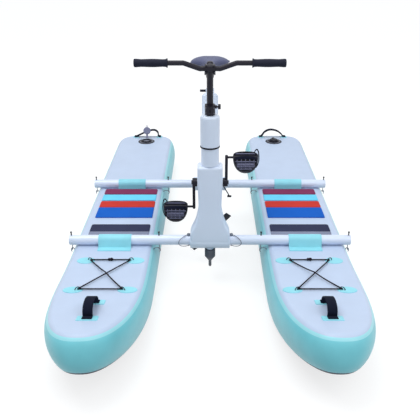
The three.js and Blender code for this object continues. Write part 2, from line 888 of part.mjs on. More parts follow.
function frontPillar() {
  const plate = frontProfile(pillarOutline(0), sleeveDiameter, edgeRound, 2);
  const sleeve = rod(sleeveRadius, sleeveLength, "x", bigSides).translate(0, 0, tubeZ);
  const hollowDepth = sleeveDiameter - 2 * pillarWall;
  const hollow = frontProfile(pillarOutline(pillarWall), hollowDepth);
  const floorZ = tubeZ + sleeveRadius - pillarWall;
  const under = block(sleeveLength + overrun, sleeveDiameter, floorZ, 0, 0, floorZ / 2);
  const room = cut(hollow, under);
  const spigotRadius = tubeDiameter / 2 - tubeWall - runGap;
  const webHalf = tubeInnerEnd - runGap * 2;
  const spigotEnd = sleeveLength / 2 + spigotReach;
  const boreSpan = spigotEnd - webHalf + overrun;
  const sideBores = (radius) => [-1, 1].map((side) =>
    rod(radius, boreSpan, "x", midSides).translate(side * (webHalf + boreSpan / 2), 0, tubeZ));
  const spigot = cut(rod(spigotRadius, 2 * spigotEnd, "x", midSides).translate(0, 0, tubeZ),
    ...sideBores(spigotRadius - spigotWall));
  const steerHole = rod(steerTubeDiameter / 2 + runGap, pillarTopZ, "z", midSides);
  steerHole.translate(0, 0, pillarTopZ / 2 + overrun);
  const pinHoles = [-1, 1].map((side) =>
    rod(pinRadius + runGap, sleeveDiameter + overrun, "z", smallSides).translate(side * pinX(), 0, tubeZ));
  const casting = cut(join(plate, sleeve), room, ...sideBores(tubeDiameter / 2 + restGap));
  return cut(join(casting, spigot), steerHole, ...pinHoles);
}

function column() {
  const outer = columnDiameter / 2;
  const inner = outer - columnWall;
  const bore = steerTubeDiameter / 2 + runGap;
  return turned([[bore, 0], [outer, 0], [outer, columnHeight], [bore, columnHeight],
    [bore, columnHeight - columnPlate], [inner, columnHeight - columnPlate], [inner, columnPlate],
    [bore, columnPlate], [bore, 0]], "z", bigSides);
}

function headSeal() {
  const outer = sealDiameter / 2;
  const bore = steerTubeDiameter / 2 + runGap;
  const lip = sealHeight / 3;
  return turned([[bore, 0], [outer - lip, 0], [outer, lip], [outer, sealHeight - lip],
    [outer - lip, sealHeight], [bore, sealHeight], [bore, 0]], "z", bigSides);
}

// The steering head and the long tube that turns with it
function steeringHead() {
  const outer = headDiameter / 2;
  const tube = steerTubeDiameter / 2;
  const bottomZ = tubeZ - sleeveRadius - overrun;
  const wideBoreZ = headTopZ - stemInsert - stemTravel - overrun;
  const top = outer - headShoulder;
  const profile = [[stockDiameter / 2 + runGap, bottomZ], [tube, bottomZ], [tube, headBaseZ],
    [outer, headBaseZ], [outer, headTopZ - headShoulder],
    [outer - headShoulder * 0.3, headTopZ - headShoulder * 0.35],
    [top, headTopZ], [stemDiameter / 2 + runGap, headTopZ], [stemDiameter / 2 + runGap, wideBoreZ],
    [stockDiameter / 2 + runGap, wideBoreZ], [stockDiameter / 2 + runGap, bottomZ]];
  return turned(profile, "z", bigSides);
}

// The clamp collar on the head, split at the front
function stemCollar() {
  const bore = stemDiameter / 2 + runGap;
  const ring = turned(ringProfile(collarDiameter / 2, bore, collarHeight), "z", midSides);
  const middle = collarHeight / 2;
  const ears = block(collarEar * 1.6, collarEar, collarHeight * 0.9, 0, -bore - collarEar / 2, middle);
  const slit = block(collarBoltRadius, collarEar * 3, collarHeight + overrun, 0, -bore - collarEar, middle);
  const bolts = [0.25, 0.75].map((share) =>
    rod(collarBoltRadius * 1.5, collarEar * 2, "x", smallSides)
      .translate(0, -bore - collarEar * 0.6, collarHeight * share));
  const boss = rod(knobStemRadius * 2, collarDiameter / 2, "x", lowSides);
  boss.translate(collarDiameter / 4 + knobStemRadius * 2, 0, collarHeight * 0.75);
  const through = rod(bore, collarHeight * 3, "z", midSides);
  const knobHole = rod(knobStemRadius + restGap, collarDiameter, "x", smallSides);
  knobHole.translate(collarDiameter / 2 + stemDiameter / 2, 0, collarHeight * 0.75);
  return cut(join(ring, cut(ears, slit), ...bolts, boss), through, knobHole);
}

function starKnob() {
  const points = circlePoints(1, knobLobes * 4).map(([a, b], i) => {
    const radius = knobRadius - (knobScallop / 2) * (1 - Math.cos((Math.PI * i) / 2));
    return [a * radius, b * radius];
  });
  const head = sideProfile(points, knobDepth, knobScallop / 2).translate(knobDepth / 2, 0, 0);
  const shank = rod(knobStemRadius, knobStemLength, "x", smallSides);
  shank.translate(-knobStemLength / 2 + weldDistance, 0, 0);
  return join(head, shank);
}

// The stem's shaft, its short neck and the clamp round the bar
function stem() {
  const bottomZ = headTopZ - stemInsert;
  const radius = stemDiameter / 2;
  const shaft = turned([[0, bottomZ], [radius, bottomZ], [radius, barZ + radius],
    [radius * 0.7, barZ + radius * 1.4], [0, barZ + radius * 1.4]], "z", midSides);
  const neck = rod(neckRadius, barReach, "y", midSides).translate(0, -barReach / 2, barZ);
  const clamp = rod(clampRadius, clampWidth, "x", midSides).translate(0, -barReach, barZ);
  const bolts = [-1, 1].flatMap((side) => [-1, 1].map((up) =>
    rod(collarBoltRadius, clampRadius * 1.6, "y", smallSides)
      .translate((side * clampWidth) / 3, -barReach - clampRadius * 0.5, barZ + up * clampRadius * 0.82)));
  const bore = rod(barRadius + restGap, clampWidth + overrun, "x", midSides).translate(0, -barReach, barZ);
  return cut(join(shaft, neck, clamp, ...bolts), bore);
}

function handlebar() {
  const bend = (side) => [
    [side * barHalf, 0, barRise],
    [side * (barBendOuter + (barHalf - barBendOuter) / 2), 0, barRise],
    [side * barBendOuter * 1.12, 0, barRise],
    [side * barBendOuter, 0, barRise * 0.96],
    [side * barBendInner, 0, barRise * 0.04],
    [side * barBendInner * 0.8, 0, 0],
    [side * barBendInner * 0.4, 0, 0],
  ];
  return wire([...bend(-1), ...bend(1).reverse()], barRadius, smallSides, 28);
}

// A grip with a rounded end and a flange at its inner edge
function grip() {
  const bore = barRadius + runGap;
  const waist = gripRadius * 0.9;
  return turned([[0, gripLength], [gripRadius * 0.7, gripLength], [gripRadius, gripLength - gripWall],
    [waist, gripLength * 0.8], [gripRadius * 0.97, gripLength * 0.5], [waist, gripLength * 0.2],
    [gripRadius * 1.12, gripWall], [gripRadius * 1.12, 0], [bore, 0],
    [bore, gripLength - gripWall], [0, gripLength - gripWall]], "x", lowSides);
}

// Rudder: a swept blade with a boss, on a stock that rises in the steering tube
function rudder() {
  const top = rudderTopZ;
  const bottom = top - rudderHeight;
  const front = -rudderBossRadius * 0.8;
  const outline = [[front, top], [front + rudderSweep * 0.35, top - rudderHeight * 0.45],
    [front + rudderSweep, bottom + rudderHeight * 0.1], [front + rudderSweep * 1.3, bottom],
    [front + rudderChord * 0.92, bottom + rudderHeight * 0.1],
    [front + rudderChord, top - rudderHeight * 0.45], [front + rudderChord * 0.82, top]];
  const fin = sideProfile(outline.reverse(), rudderThickness, rudderThickness / 3);
  const stock = stockDiameter / 2;
  const boss = turned([[0, top - rudderBossHeight * 1.6], [rudderBossRadius * 0.35, top - rudderBossHeight * 1.6],
    [rudderBossRadius, top - rudderBossHeight], [rudderBossRadius, top - runGap], [stock, top],
    [stock, top + stockLength], [0, top + stockLength]], "z", midSides);
  return join(fin, boss);
}

// Drive housing: the beam behind the pillar with the gear space and the leg guide
function housingOutline(inset) {
  const front = pillarRearY + restGap + inset;
  const back = housingRearY - inset;
  const bottom = housingBottomZ + inset;
  const top = housingTopZ - inset;
  const shoulder = housingShoulderZ - inset;
  const reach = housingShoulderReach;
  const shape = new THREE.Shape();
  shape.moveTo(front, bottom);
  shape.lineTo(back, bottom);
  shape.lineTo(back, top);
  shape.lineTo(front + reach, top);
  shape.quadraticCurveTo(front + reach * 0.45, top, front + reach * 0.34, shoulder);
  shape.lineTo(front, shoulder);
  shape.closePath();
  return shape;
}

function driveHousing() {
  const shell = sideProfile(housingOutline(0), housingWidth, housingRound);
  const room = sideProfile(housingOutline(housingWall), housingWidth - 2 * housingWall);
  const guideTop = housingBottomZ + housingWall * 2;
  const guideHeight = guideTop - guideBottomZ;
  const guideZ = guideBottomZ + guideHeight / 2;
  const guide = block(guideSide, guideSide, guideHeight, 0, crankY, guideZ);
  const flareHeight = housingWall * 5;
  const flare = turned([[0, 0], [guideSide * 0.5, 0], [guideSide * 0.86, flareHeight], [0, flareHeight]],
    "z", squareSides);
  flare.rotateZ(Math.PI / 4).translate(0, crankY, housingBottomZ - housingWall * 4);
  const bossRadius = axleRadius * 2.1;
  const axleBoss = rod(bossRadius, housingWidth + 4 * housingWall, "x", midSides);
  axleBoss.translate(0, crankY, crankZ);
  const bossRoom = rod(bossRadius + overrun, housingWidth - 2 * housingWall, "x", midSides);
  bossRoom.translate(0, crankY, crankZ);
  const axleBore = rod(axleRadius + runGap, housingWidth * 2, "x", midSides).translate(0, crankY, crankZ);
  const guideRoom = guideSide - 2 * guideWall;
  const slot = block(guideRoom, guideRoom, guideHeight + 2 * overrun, 0, crankY, guideZ);
  return cut(join(cut(shell, room), cut(axleBoss, bossRoom), guide, flare), axleBore, slot);
}

// Leg tubes: one slides in the guide, the next slides in it and carries the pod
function legStage() {
  const side = guideSide - 2 * guideWall - 2 * runGap;
  const room = side - 2 * guideWall;
  const tube = block(side, side, legStageLength);
  const stage = cut(tube, block(room, room, legStageLength + overrun));
  return stage.translate(0, crankY, guideBottomZ + legStageLength / 2);
}

function podProfile() {
  const back = podLength - podNose;
  return [[podRadius * 0.86, 0], [podRadius, podLength * 0.12], [podRadius, back],
    [podRadius * 0.8, back + podNose * 0.5], [podRadius * 0.4, back + podNose * 0.9], [0, podLength]];
}

function legPod() {
  const side = guideSide - 4 * guideWall - 4 * runGap;
  const room = side - 2 * guideWall;
  const tubeTop = guideBottomZ + legStageLength;
  const tubeHeight = tubeTop - podZ;
  const tube = block(side, side, tubeHeight, 0, crankY, podZ + tubeHeight / 2);
  const frontY = crankY - propPlane + propHubLength / 2 + restGap * 4;
  const outer = turned([[0, 0], ...podProfile()], "y", midSides).translate(0, frontY, podZ);
  const inner = podRadius - podWall;
  const roomBack = podLength - podNose - podWall;
  const hollow = turned([[0, podWall], [inner * 0.9, podWall], [inner, podLength * 0.14], [inner, roomBack],
    [0, roomBack]], "y", midSides).translate(0, frontY, podZ);
  const shaftBore = rod(propShaftRadius + restGap, podWall * 4, "y", lowSides).translate(0, frontY, podZ);
  const fin = [[crankY - skegChord * 0.35, podZ], [crankY + skegChord * 0.65, podZ],
    [crankY + skegChord * 0.62, podZ - skegDepth * 0.9], [crankY + skegChord * 0.42, podZ - skegDepth],
    [crankY + skegChord * 0.22, podZ - skegDepth * 0.96]];
  const skeg = sideProfile(fin.reverse(), skegThickness, skegThickness / 3);
  const slot = block(room, room, tubeHeight + overrun, 0, crankY, podZ + tubeHeight / 2 + overrun / 2);
  const whole = join(tube, outer, skeg);
  return cut(whole, hollow, shaftBore, slot);
}

// A straight bevel gear about Z, its cone's point at the origin and its teeth facing that point.
function bevelGear(teeth, radius, mateRadius, face, addendum, dedendum, back) {
  const cone = Math.atan2(radius, mateRadius);
  const outerDistance = Math.hypot(radius, mateRadius);
  const ring = (distance) => {
    const scale = distance / outerDistance;
    const points = [];
    for (let tooth = 0; tooth < teeth; tooth += 1) {
      for (const [share, height] of [[-toothRootShare, -dedendum], [-toothTipShare, addendum],
        [toothTipShare, addendum], [toothRootShare, -dedendum]]) {
        const angle = (2 * Math.PI * (tooth + share)) / teeth;
        const out = distance * Math.sin(cone) + height * scale * Math.cos(cone);
        const up = distance * Math.cos(cone) - height * scale * Math.sin(cone);
        points.push([out * Math.cos(angle), out * Math.sin(angle), up]);
      }
    }
    return points;
  };
  const big = ring(outerDistance);
  const small = ring(outerDistance - face);
  const backZ = outerDistance * Math.cos(cone) + back;
  const rings = [big, small];
  const count = big.length;
  const positions = rings.flat(2);
  const frontZ = (outerDistance - face) * Math.cos(cone);
  positions.push(0, 0, backZ, 0, 0, frontZ);
  const index = [];
  const [backCentre, frontCentre] = [2 * count, 2 * count + 1];
  for (let i = 0; i < count; i += 1) {
    const next = (i + 1) % count;
    index.push(i, next, count + next, i, count + next, count + i);
    index.push(backCentre, next, i, frontCentre, count + i, count + next);
  }
  const geometry = new THREE.BufferGeometry();
  geometry.setAttribute("position", new THREE.Float32BufferAttribute(positions, 3));
  geometry.setIndex(index);
  return outward(geometry);
}

const pinionRadius = (crownRadius * pinionTeeth) / crownTeeth;

// Crank axle with its crown gear, whose teeth face the pinion
function crankAxle() {
  const gear = bevelGear(crownTeeth, crownRadius, pinionRadius, crownFace, crownAddendum, crownDedendum, crownBack);
  const upright = gear.rotateZ(Math.PI / crownTeeth).rotateY(Math.PI / 2);
  const hub = rod(axleRadius * 1.6, crownBack * 3, "x", lowSides).translate(pinionRadius + crownBack * 2, 0, 0);
  return join(rod(axleRadius, 2 * axleHalf, "x", midSides), hub, upright);
}

// A six-sided shaft section
function hexShaft(radius, topZ, bottomZ) {
  return rod(radius, topZ - bottomZ, "z", hexSides).translate(0, 0, (topZ + bottomZ) / 2);
}

const shaftBottomZ = guideBottomZ + shaftStep * 3;
const shaftTopZ = guideBottomZ + legStageLength;

function pinionShaft() {
  const gear = bevelGear(pinionTeeth, pinionRadius, crownRadius, crownFace, crownAddendum, crownDedendum, crownBack);
  const upright = gear.rotateX(Math.PI).translate(0, 0, crankZ);
  return join(upright, hexShaft(shaftRadius, crankZ - crownRadius, shaftBottomZ));
}

function hexTube(level, topZ, bottomZ) {
  const outer = shaftRadius + level * (shaftStep + runGap);
  const inner = shaftRadius + (level - 1) * (shaftStep + runGap) + runGap;
  return cut(hexShaft(outer, topZ, bottomZ), hexShaft(inner, topZ + overrun, bottomZ - overrun));
}

function middleShaft() {
  return hexTube(1, shaftTopZ - shaftStep, shaftBottomZ - shaftStep);
}

function lowerShaft() {
  const level = 2;
  const tube = hexTube(level, shaftTopZ - shaftStep * 2, podZ + miterRadius + miterBack);
  const gear = bevelGear(miterTeeth, miterRadius, miterRadius, miterFace, miterAddendum, miterDedendum, miterBack);
  const floor = hexShaft(shaftRadius + level * (shaftStep + runGap), podZ + miterRadius + miterBack * 2,
    podZ + miterRadius);
  return join(tube, gear.translate(0, 0, podZ), floor);
}

function propShaft() {
  const gear = bevelGear(miterTeeth, miterRadius, miterRadius, miterFace, miterAddendum, miterDedendum, miterBack);
  const turnedGear = gear.rotateZ(Math.PI / miterTeeth).rotateX(Math.PI / 2);
  const length = propPlane + propHubLength / 2 - miterRadius - overrun;
  const shaft = rod(propShaftRadius, length, "y", lowSides).translate(0, -miterRadius - length / 2, 0);
  return join(turnedGear, shaft);
}

// One twisted blade, standing up from the hub along Z
function propBlade() {
  const positions = [];
  const index = [];
  const around = 8;
  for (let i = 0; i < bladeSections; i += 1) {
    const share = i / (bladeSections - 1);
    const radius = propHubRadius * 0.6 + (propRadius - propHubRadius * 0.6) * share;
    const bulge = 4 * share * (1 - share);
    const chord = THREE.MathUtils.lerp(bladeRootChord, bladeTipChord, share)
      + bulge * (bladeMidChord - (bladeRootChord + bladeTipChord) / 2);
    const thickness = THREE.MathUtils.lerp(bladeThickness, bladeTipThickness, share);
    const pitch = THREE.MathUtils.degToRad(THREE.MathUtils.lerp(bladeRootAngle, bladeTipAngle, share ** 0.6));
    for (let j = 0; j < around; j += 1) {
      const turn = (2 * Math.PI * j) / around;
      const across = (chord / 2) * Math.cos(turn);
      const thick = (thickness / 2) * Math.sin(turn);
      const x = across * Math.cos(pitch) - thick * Math.sin(pitch);
      const y = across * Math.sin(pitch) + thick * Math.cos(pitch);
      positions.push(x, y, radius);
    }
  }
  for (let i = 0; i < bladeSections - 1; i += 1) {
    for (let j = 0; j < around; j += 1) {
      const next = (j + 1) % around;
      index.push(i * around + j, i * around + next, (i + 1) * around + next);
      index.push(i * around + j, (i + 1) * around + next, (i + 1) * around + j);
    }
  }
  const last = (bladeSections - 1) * around;
  for (let j = 1; j < around - 1; j += 1) {
    index.push(0, j + 1, j, last, last + j, last + j + 1);
  }
  const geometry = new THREE.BufferGeometry();
  geometry.setAttribute("position", new THREE.Float32BufferAttribute(positions, 3));
  geometry.setIndex(index);
  return outward(geometry);
}

function propeller() {
  const half = propHubLength / 2;
  const hub = turned([[0, half], [propHubRadius, half], [propHubRadius, -half],
    [propHubRadius * 0.8, -half - propNoseLength * 0.5], [propHubRadius * 0.35, -half - propNoseLength],
    [0, -half - propNoseLength * 1.1]], "y", midSides);
  const bore = rod(propShaftRadius + restGap, propHubLength + overrun, "y", lowSides).translate(0, overrun, 0);
  const blades = [0, 1].map((turn) => propBlade().rotateY(Math.PI * turn));
  return cut(join(hub, ...blades), bore).rotateY(THREE.MathUtils.degToRad(bladeAngle));
}

// Crank arms: a lobed hub, a tapered arm and the pedal's spindle
function crankArm(side, up) {
  const inner = side * armInnerX;
  const middle = side * (armInnerX + armThickness / 2);
  const end = up * crankLength;
  const lobed = circlePoints(1, hubLobes * 4).map(([a, b], i) => {
    const radius = armHubRadius * (0.94 + 0.06 * Math.cos((Math.PI * i) / 2));
    return [a * radius, b * radius];
  });
  const hub = sideProfile(lobed, armThickness * 1.7, armThickness / 8);
  hub.translate(middle - side * armThickness * 0.35, 0, 0);
  const steps = 6;
  const outline = [];
  for (let i = 0; i <= steps; i += 1) {
    const turn = Math.PI + (Math.PI * i) / steps;
    outline.push([armHubRadius * 0.62 * Math.cos(turn), up * armHubRadius * 0.62 * Math.sin(turn)]);
  }
  for (let i = 0; i <= steps; i += 1) {
    const turn = (Math.PI * i) / steps;
    outline.push([armEndRadius * Math.cos(turn), end + up * armEndRadius * Math.sin(turn)]);
  }
  const arm = outward(sideProfile(up > 0 ? outline : outline.reverse(), armThickness, armThickness / 5));
  arm.translate(middle, 0, 0);
  const length = spindleLength + armThickness;
  const spindle = rod(spindleRadius, length, "x", lowSides).translate(inner + (side * length) / 2, 0, end);
  const bore = rod(axleRadius + restGap, armThickness * 2, "x", midSides);
  bore.translate(side * (axleHalf - armThickness + overrun / 2), 0, 0);
  const cap = rod(axleRadius * 1.2, armThickness / 3, "x", smallSides);
  cap.translate(side * (armInnerX + armThickness + armThickness / 6), 0, 0);
  return cut(join(hub, arm, spindle, cap), bore);
}

// Pedal: a rounded platform with slots, a boss round the spindle and a toe strap
function pedal(side) {
  const half = pedalWidth / 2;
  const shape = new THREE.Shape();
  shape.moveTo(-half, pedalRise * 0.5);
  shape.quadraticCurveTo(-half, pedalRise, -half + pedalRise * 0.8, pedalRise);
  shape.lineTo(half - pedalRise * 0.8, pedalRise);
  shape.quadraticCurveTo(half, pedalRise, half, pedalRise * 0.5);
  shape.lineTo(half * 0.97, -pedalFall * 0.3);
  shape.bezierCurveTo(half * 0.9, -pedalFall * 0.8, half * 0.55, -pedalFall, 0, -pedalFall);
  shape.bezierCurveTo(-half * 0.55, -pedalFall, -half * 0.9, -pedalFall * 0.8, -half * 0.97, -pedalFall * 0.3);
  shape.closePath();
  const plate = frontProfile(shape, pedalThickness, pedalThickness / 5);
  const slots = [0, 1, 2].map((i) => {
    const z = -pedalBossRadius - pedalSlotInset / 2 - pedalSlot / 2 - i * (pedalSlot + pedalRib);
    const width = pedalWidth * (0.8 - 0.13 * i) - pedalSlotInset;
    const slot = frontProfile(chamferedRectangle(width, pedalSlot, pedalSlot / 3), pedalThickness + overrun);
    return slot.translate(0, 0, z);
  });
  const boss = rod(pedalBossRadius, pedalWidth, "x", lowSides);
  const bore = rod(spindleRadius + runGap, pedalWidth + overrun, "x", lowSides);
  const low = pedalThickness / 2 - toeStrapThickness / 2;
  const line = [[-half * 0.86, -low]];
  for (let i = 0; i <= 8; i += 1) {
    const turn = Math.PI * (1 - i / 8);
    line.push([half * 0.86 * Math.cos(turn), low + toeStrapHeight * Math.sin(turn) ** 0.7]);
  }
  line.push([half * 0.86, -low]);
  const strap = extrude(shapeOf(stripOutline(line, toeStrapThickness)), toeStrapWidth);
  strap.rotateX(Math.PI).translate(0, 0, -pedalFall * 0.42);
  const whole = cut(join(plate, boss, strap), bore, ...slots);
  const place = side * (armInnerX + armThickness + pedalGap + half);
  return whole.rotateX(THREE.MathUtils.degToRad(-pedalTilt)).translate(place, 0, 0);
}

// Leg lock lever on the housing's side
function lockLever() {
  const boss = rod(leverBossRadius, leverBossDepth, "x", lowSides).translate(leverBossDepth / 2, 0, 0);
  const route = [[leverBossDepth / 2, 0, 0], [leverOut * 0.5, leverBack * 0.4, -leverDown * 0.45],
    [leverOut * 0.8, leverBack * 0.75, -leverDown * 0.75], [leverOut, leverBack, -leverDown]];
  const shank = wire(route, leverRod, hexSides, 8);
  const knob = rod(leverKnob * 0.7, leverKnob * 2.6, "x", smallSides);
  knob.translate(leverOut, leverBack, -leverDown);
  return join(boss, shank, knob);
}

// Mast: a box tube with a chamfered top, cut level where it stands on the housing
function seatMast() {
  const drop = (mastTopZ - housingTopZ) / Math.cos(lean) + mastDepth;
  const outer = extrude(roundedRectangle(mastWidth, mastDepth, mastRound), drop * 2, mastChamfer);
  outer.translate(0, 0, -drop);
  const room = roundedRectangle(mastWidth - 2 * mastWall, mastDepth - 2 * mastWall, mastRound - mastWall);
  const inner = extrude(room, drop * 2).translate(0, 0, -drop - mastTopPlate);
  const collar = rod(seatCollarRadius, seatCollarHeight + overrun, "z", midSides);
  collar.translate(0, 0, seatCollarHeight / 2);
  const bore = rod(postRadius + runGap, drop, "z", midSides);
  const ear = block(seatCollarRadius, seatLeverPivot * 3, seatCollarHeight * 0.7,
    seatCollarRadius * 0.2, seatCollarRadius + seatLeverPivot * 0.6, seatCollarHeight * 0.6);
  const level = block(drop * 2, drop * 4, drop * 2, 0, 0, -drop).rotateX(lean);
  const toFloor = (mastTopZ - housingTopZ - restGap) / Math.cos(lean);
  level.translate(0, 0, -toFloor);
  return cut(join(outer, collar, ear), inner, bore, level);
}

function seatPost() {
  const tube = turned([[0, postRise], [postRadius * 0.9, postRise], [postRadius, postRise - postRadius * 0.2],
    [postRadius, -postInsert], [postRadius * 0.8, -postInsert], [postRadius * 0.8, postRise - postRadius],
    [0, postRise - postRadius]], "z", midSides);
  return tube;
}

function seatLever() {
  const barrel = rod(seatLeverPivot, seatLeverWidth, "z", lowSides);
  const line = [[0, 0], [-seatLeverLength * 0.3, seatLeverThickness * 0.4],
    [-seatLeverLength * 0.7, seatLeverThickness * 0.2], [-seatLeverLength, -seatLeverThickness * 0.8]];
  const blade = extrude(shapeOf(stripOutline(line, seatLeverThickness)), seatLeverWidth * 0.8);
  return join(barrel, blade);
}

// Saddle: a broad tail that narrows to a nose, crowned, with a shallow channel down the middle
function saddle() {
  const stations = [
    { at: 0, half: 0.16, top: 0.72, low: 0.3 },
    { at: 0.03, half: 0.3, top: 0.84, low: 0.12 },
    { at: 0.1, half: 0.38, top: 0.92, low: 0.06 },
    { at: 0.25, half: 0.46, top: 0.95, low: 0.04 },
    { at: 0.4, half: 0.62, top: 0.95, low: 0.02 },
    { at: 0.52, half: 0.95, top: 0.96, low: 0 },
    { at: 0.64, half: 1.45, top: 0.98, low: 0 },
    { at: 0.76, half: 1.9, top: 1, low: 0.02 },
    { at: 0.87, half: 2, top: 1, low: 0.06 },
    { at: 0.95, half: 1.78, top: 0.95, low: 0.16 },
    { at: 0.985, half: 1.4, top: 0.86, low: 0.3 },
    { at: 1, half: 0.9, top: 0.72, low: 0.46 },
  ];
  const around = 16;
  const positions = [];
  const index = [];
  const widest = saddleWidth / 4;
  for (const station of stations) {
    const noseBlend = THREE.MathUtils.clamp((station.half - 0.46) / 1.54, 0, 1);
    const half = THREE.MathUtils.lerp((saddleNoseWidth / 2) * (station.half / 0.46), widest * station.half, noseBlend);
    const top = saddleHeight * station.top;
    const low = saddleHeight * station.low;
    for (let j = 0; j < around; j += 1) {
      const turn = (2 * Math.PI * j) / around;
      const across = Math.sign(Math.cos(turn)) * Math.abs(Math.cos(turn)) ** 0.75;
      const rise = Math.sign(Math.sin(turn)) * Math.abs(Math.sin(turn)) ** 0.7;
      const drawnIn = rise < 0 ? 1 - 0.22 * Math.abs(rise) : 1;
      const groove = j === around / 4 ? saddleChannel * (1 - Math.abs(2 * station.at - 1) ** 4) : 0;
      const crown = noseBlend * (half * across) ** 2 / (widest * 2) * 0.12;
      const z = (top + low) / 2 + ((top - low) / 2) * rise - groove - (rise > 0 ? crown : 0);
      positions.push(half * across * drawnIn, saddleLength * station.at, z);
    }
  }
  for (let i = 0; i < stations.length - 1; i += 1) {
    for (let j = 0; j < around; j += 1) {
      const next = (j + 1) % around;
      index.push(i * around + j, i * around + next, (i + 1) * around + next);
      index.push(i * around + j, (i + 1) * around + next, (i + 1) * around + j);
    }
  }
  const last = (stations.length - 1) * around;
  for (let j = 1; j < around - 1; j += 1) {
    index.push(0, j + 1, j, last, last + j, last + j + 1);
  }
  const geometry = new THREE.BufferGeometry();
  geometry.setAttribute("position", new THREE.Float32BufferAttribute(positions, 3));
  geometry.setIndex(index);
  return outward(geometry);
}

const postTopY = mastTopY + postRise * Math.sin(lean);
const postTopZ = mastTopZ + postRise * Math.cos(lean);
const saddleTopZ = postTopZ + saddleOverPost;
const saddleBaseZ = saddleTopZ - saddleHeight;

// The clamp on the post and the two rails that carry the saddle
function railClamp() {
  const railZ = saddleBaseZ - railDrop;
  const body = block(railSpread * 2 + railRadius * 4, clampBlock, clampBlock * 0.4, 0, postTopY, railZ);
  const depth = clampBlock * 1.5;
  const socketBack = depth / 2 - restGap;
  const socket = rod(postRadius + restGap, depth, "z", midSides).rotateX(-lean);
  socket.translate(0, postTopY - socketBack * Math.sin(lean), postTopZ - socketBack * Math.cos(lean));
  const neckLength = clampBlock * 0.9;
  const neck = rod(postRadius * 1.4, neckLength, "z", midSides).rotateX(-lean);
  const neckBack = neckLength / 2 + restGap;
  neck.translate(0, postTopY - neckBack * Math.sin(lean), postTopZ - neckBack * Math.cos(lean));
  const railEndZ = saddleBaseZ + railLift - railRadius - restGap;
  const rails = [-1, 1].map((side) => {
    const x = side * railSpread;
    return wire([
      [x * 0.3, saddleNoseY + saddleLength * 0.14, railEndZ],
      [x * 0.42, saddleNoseY + saddleLength * 0.2, railEndZ - railRadius],
      [x, postTopY - railLength / 3, railZ], [x, postTopY, railZ], [x, postTopY + railLength / 3, railZ],
      [x * 1.2, postTopY + railLength * 0.55, railEndZ],
    ], railRadius, hexSides, 8);
  });
  return cut(join(body, neck, ...rails), socket);
}

// Rear strut: an arm from the housing down to the rear sleeve
function rearStrut() {
  const front = housingRearY + restGap;
  const shape = new THREE.Shape();
  shape.moveTo(front, strutBottomZ);
  shape.quadraticCurveTo(rearTubeY - sleeveRadius * 2, strutBottomZ - sleeveRadius * 0.3,
    rearTubeY - sleeveRadius * 0.7, tubeZ - sleeveRadius * 0.7);
  shape.lineTo(rearTubeY, tubeZ - sleeveRadius);
  shape.lineTo(rearTubeY + sleeveRadius, tubeZ);
  shape.lineTo(rearTubeY + sleeveRadius * 0.7, tubeZ + sleeveRadius * 0.75);
  shape.quadraticCurveTo(rearTubeY - sleeveRadius * 0.6, strutTopZ - sleeveRadius * 0.4, front, strutTopZ);
  shape.closePath();
  const arm = sideProfile(shape, strutWidth, strutRound);
  const sleeve = rod(sleeveRadius, sleeveLength, "x", bigSides).translate(0, rearTubeY, tubeZ);
  const roomShape = new THREE.Shape();
  roomShape.moveTo(front - overrun, strutBottomZ + strutWall * 3);
  roomShape.lineTo(rearTubeY - sleeveRadius * 1.3, tubeZ + sleeveRadius * 1.3);
  roomShape.lineTo(rearTubeY - sleeveRadius * 0.6, tubeZ + sleeveRadius * 1.6);
  roomShape.lineTo(front - overrun, strutTopZ - strutWall * 3);
  roomShape.closePath();
  const room = sideProfile(roomShape, strutWidth - 2 * strutWall);
  const bore = rod(tubeDiameter / 2 + restGap, sleeveLength + overrun, "x", bigSides);
  bore.translate(0, rearTubeY, tubeZ);
  return cut(join(arm, sleeve), room, bore);
}

// Finishes, as colours, roughness and metalness
function finish(color, roughness, metalness = 0) {
  return () => new THREE.MeshStandardMaterial({ color, roughness, metalness });
}

const finishes = {
  inflated: finish(0xd3ddf2, 0.45),
  teal: finish(0x6ecbdb, 0.5),
  paint: finish(0xc4d3ec, 0.35, 0.1),
  tube: finish(0xd6e0f0, 0.3, 0.6),
  steel: finish(0xa9adb5, 0.35, 0.9),
  black: finish(0x1c1c26, 0.5),
  webbing: finish(0x20242f, 0.85),
  rubber: finish(0x1a1a22, 0.8),
  charcoal: finish(0x3a3e56, 0.8),
  blue: finish(0x2369cd, 0.75),
  red: finish(0xd0443a, 0.75),
  sky: finish(0x6ed2f0, 0.75),
  maroon: finish(0x874164, 0.75),
  graphite: finish(0x4b4d58, 0.55),
};

const bike = new THREE.Group();

// The coloured pads, from the bow towards the stern: colour, front edge and length
const redPadY = padsFrontY + bluePadLength + padJoint;
const skyPadY = redPadY + redPadLength + padSpace;
const maroonPadY = skyPadY + skyPadLength + padJoint * 2;
const padRows = [
  ["blue", padsFrontY, bluePadLength],
  ["red", redPadY, redPadLength],
  ["sky", skyPadY, skyPadLength],
  ["maroon", maroonPadY, maroonPadLength],
];

function add(parent, name, geometry, material, x = 0, y = 0, z = 0) {
  const mesh = new THREE.Mesh(geometry, material());
  mesh.name = name;
  mesh.position.set(x, y, z);
  parent.add(mesh);
  return mesh;
}

function group(parent, x = 0, y = 0, z = 0) {
  const made = new THREE.Group();
  made.position.set(x, y, z);
  parent.add(made);
  return made;
}

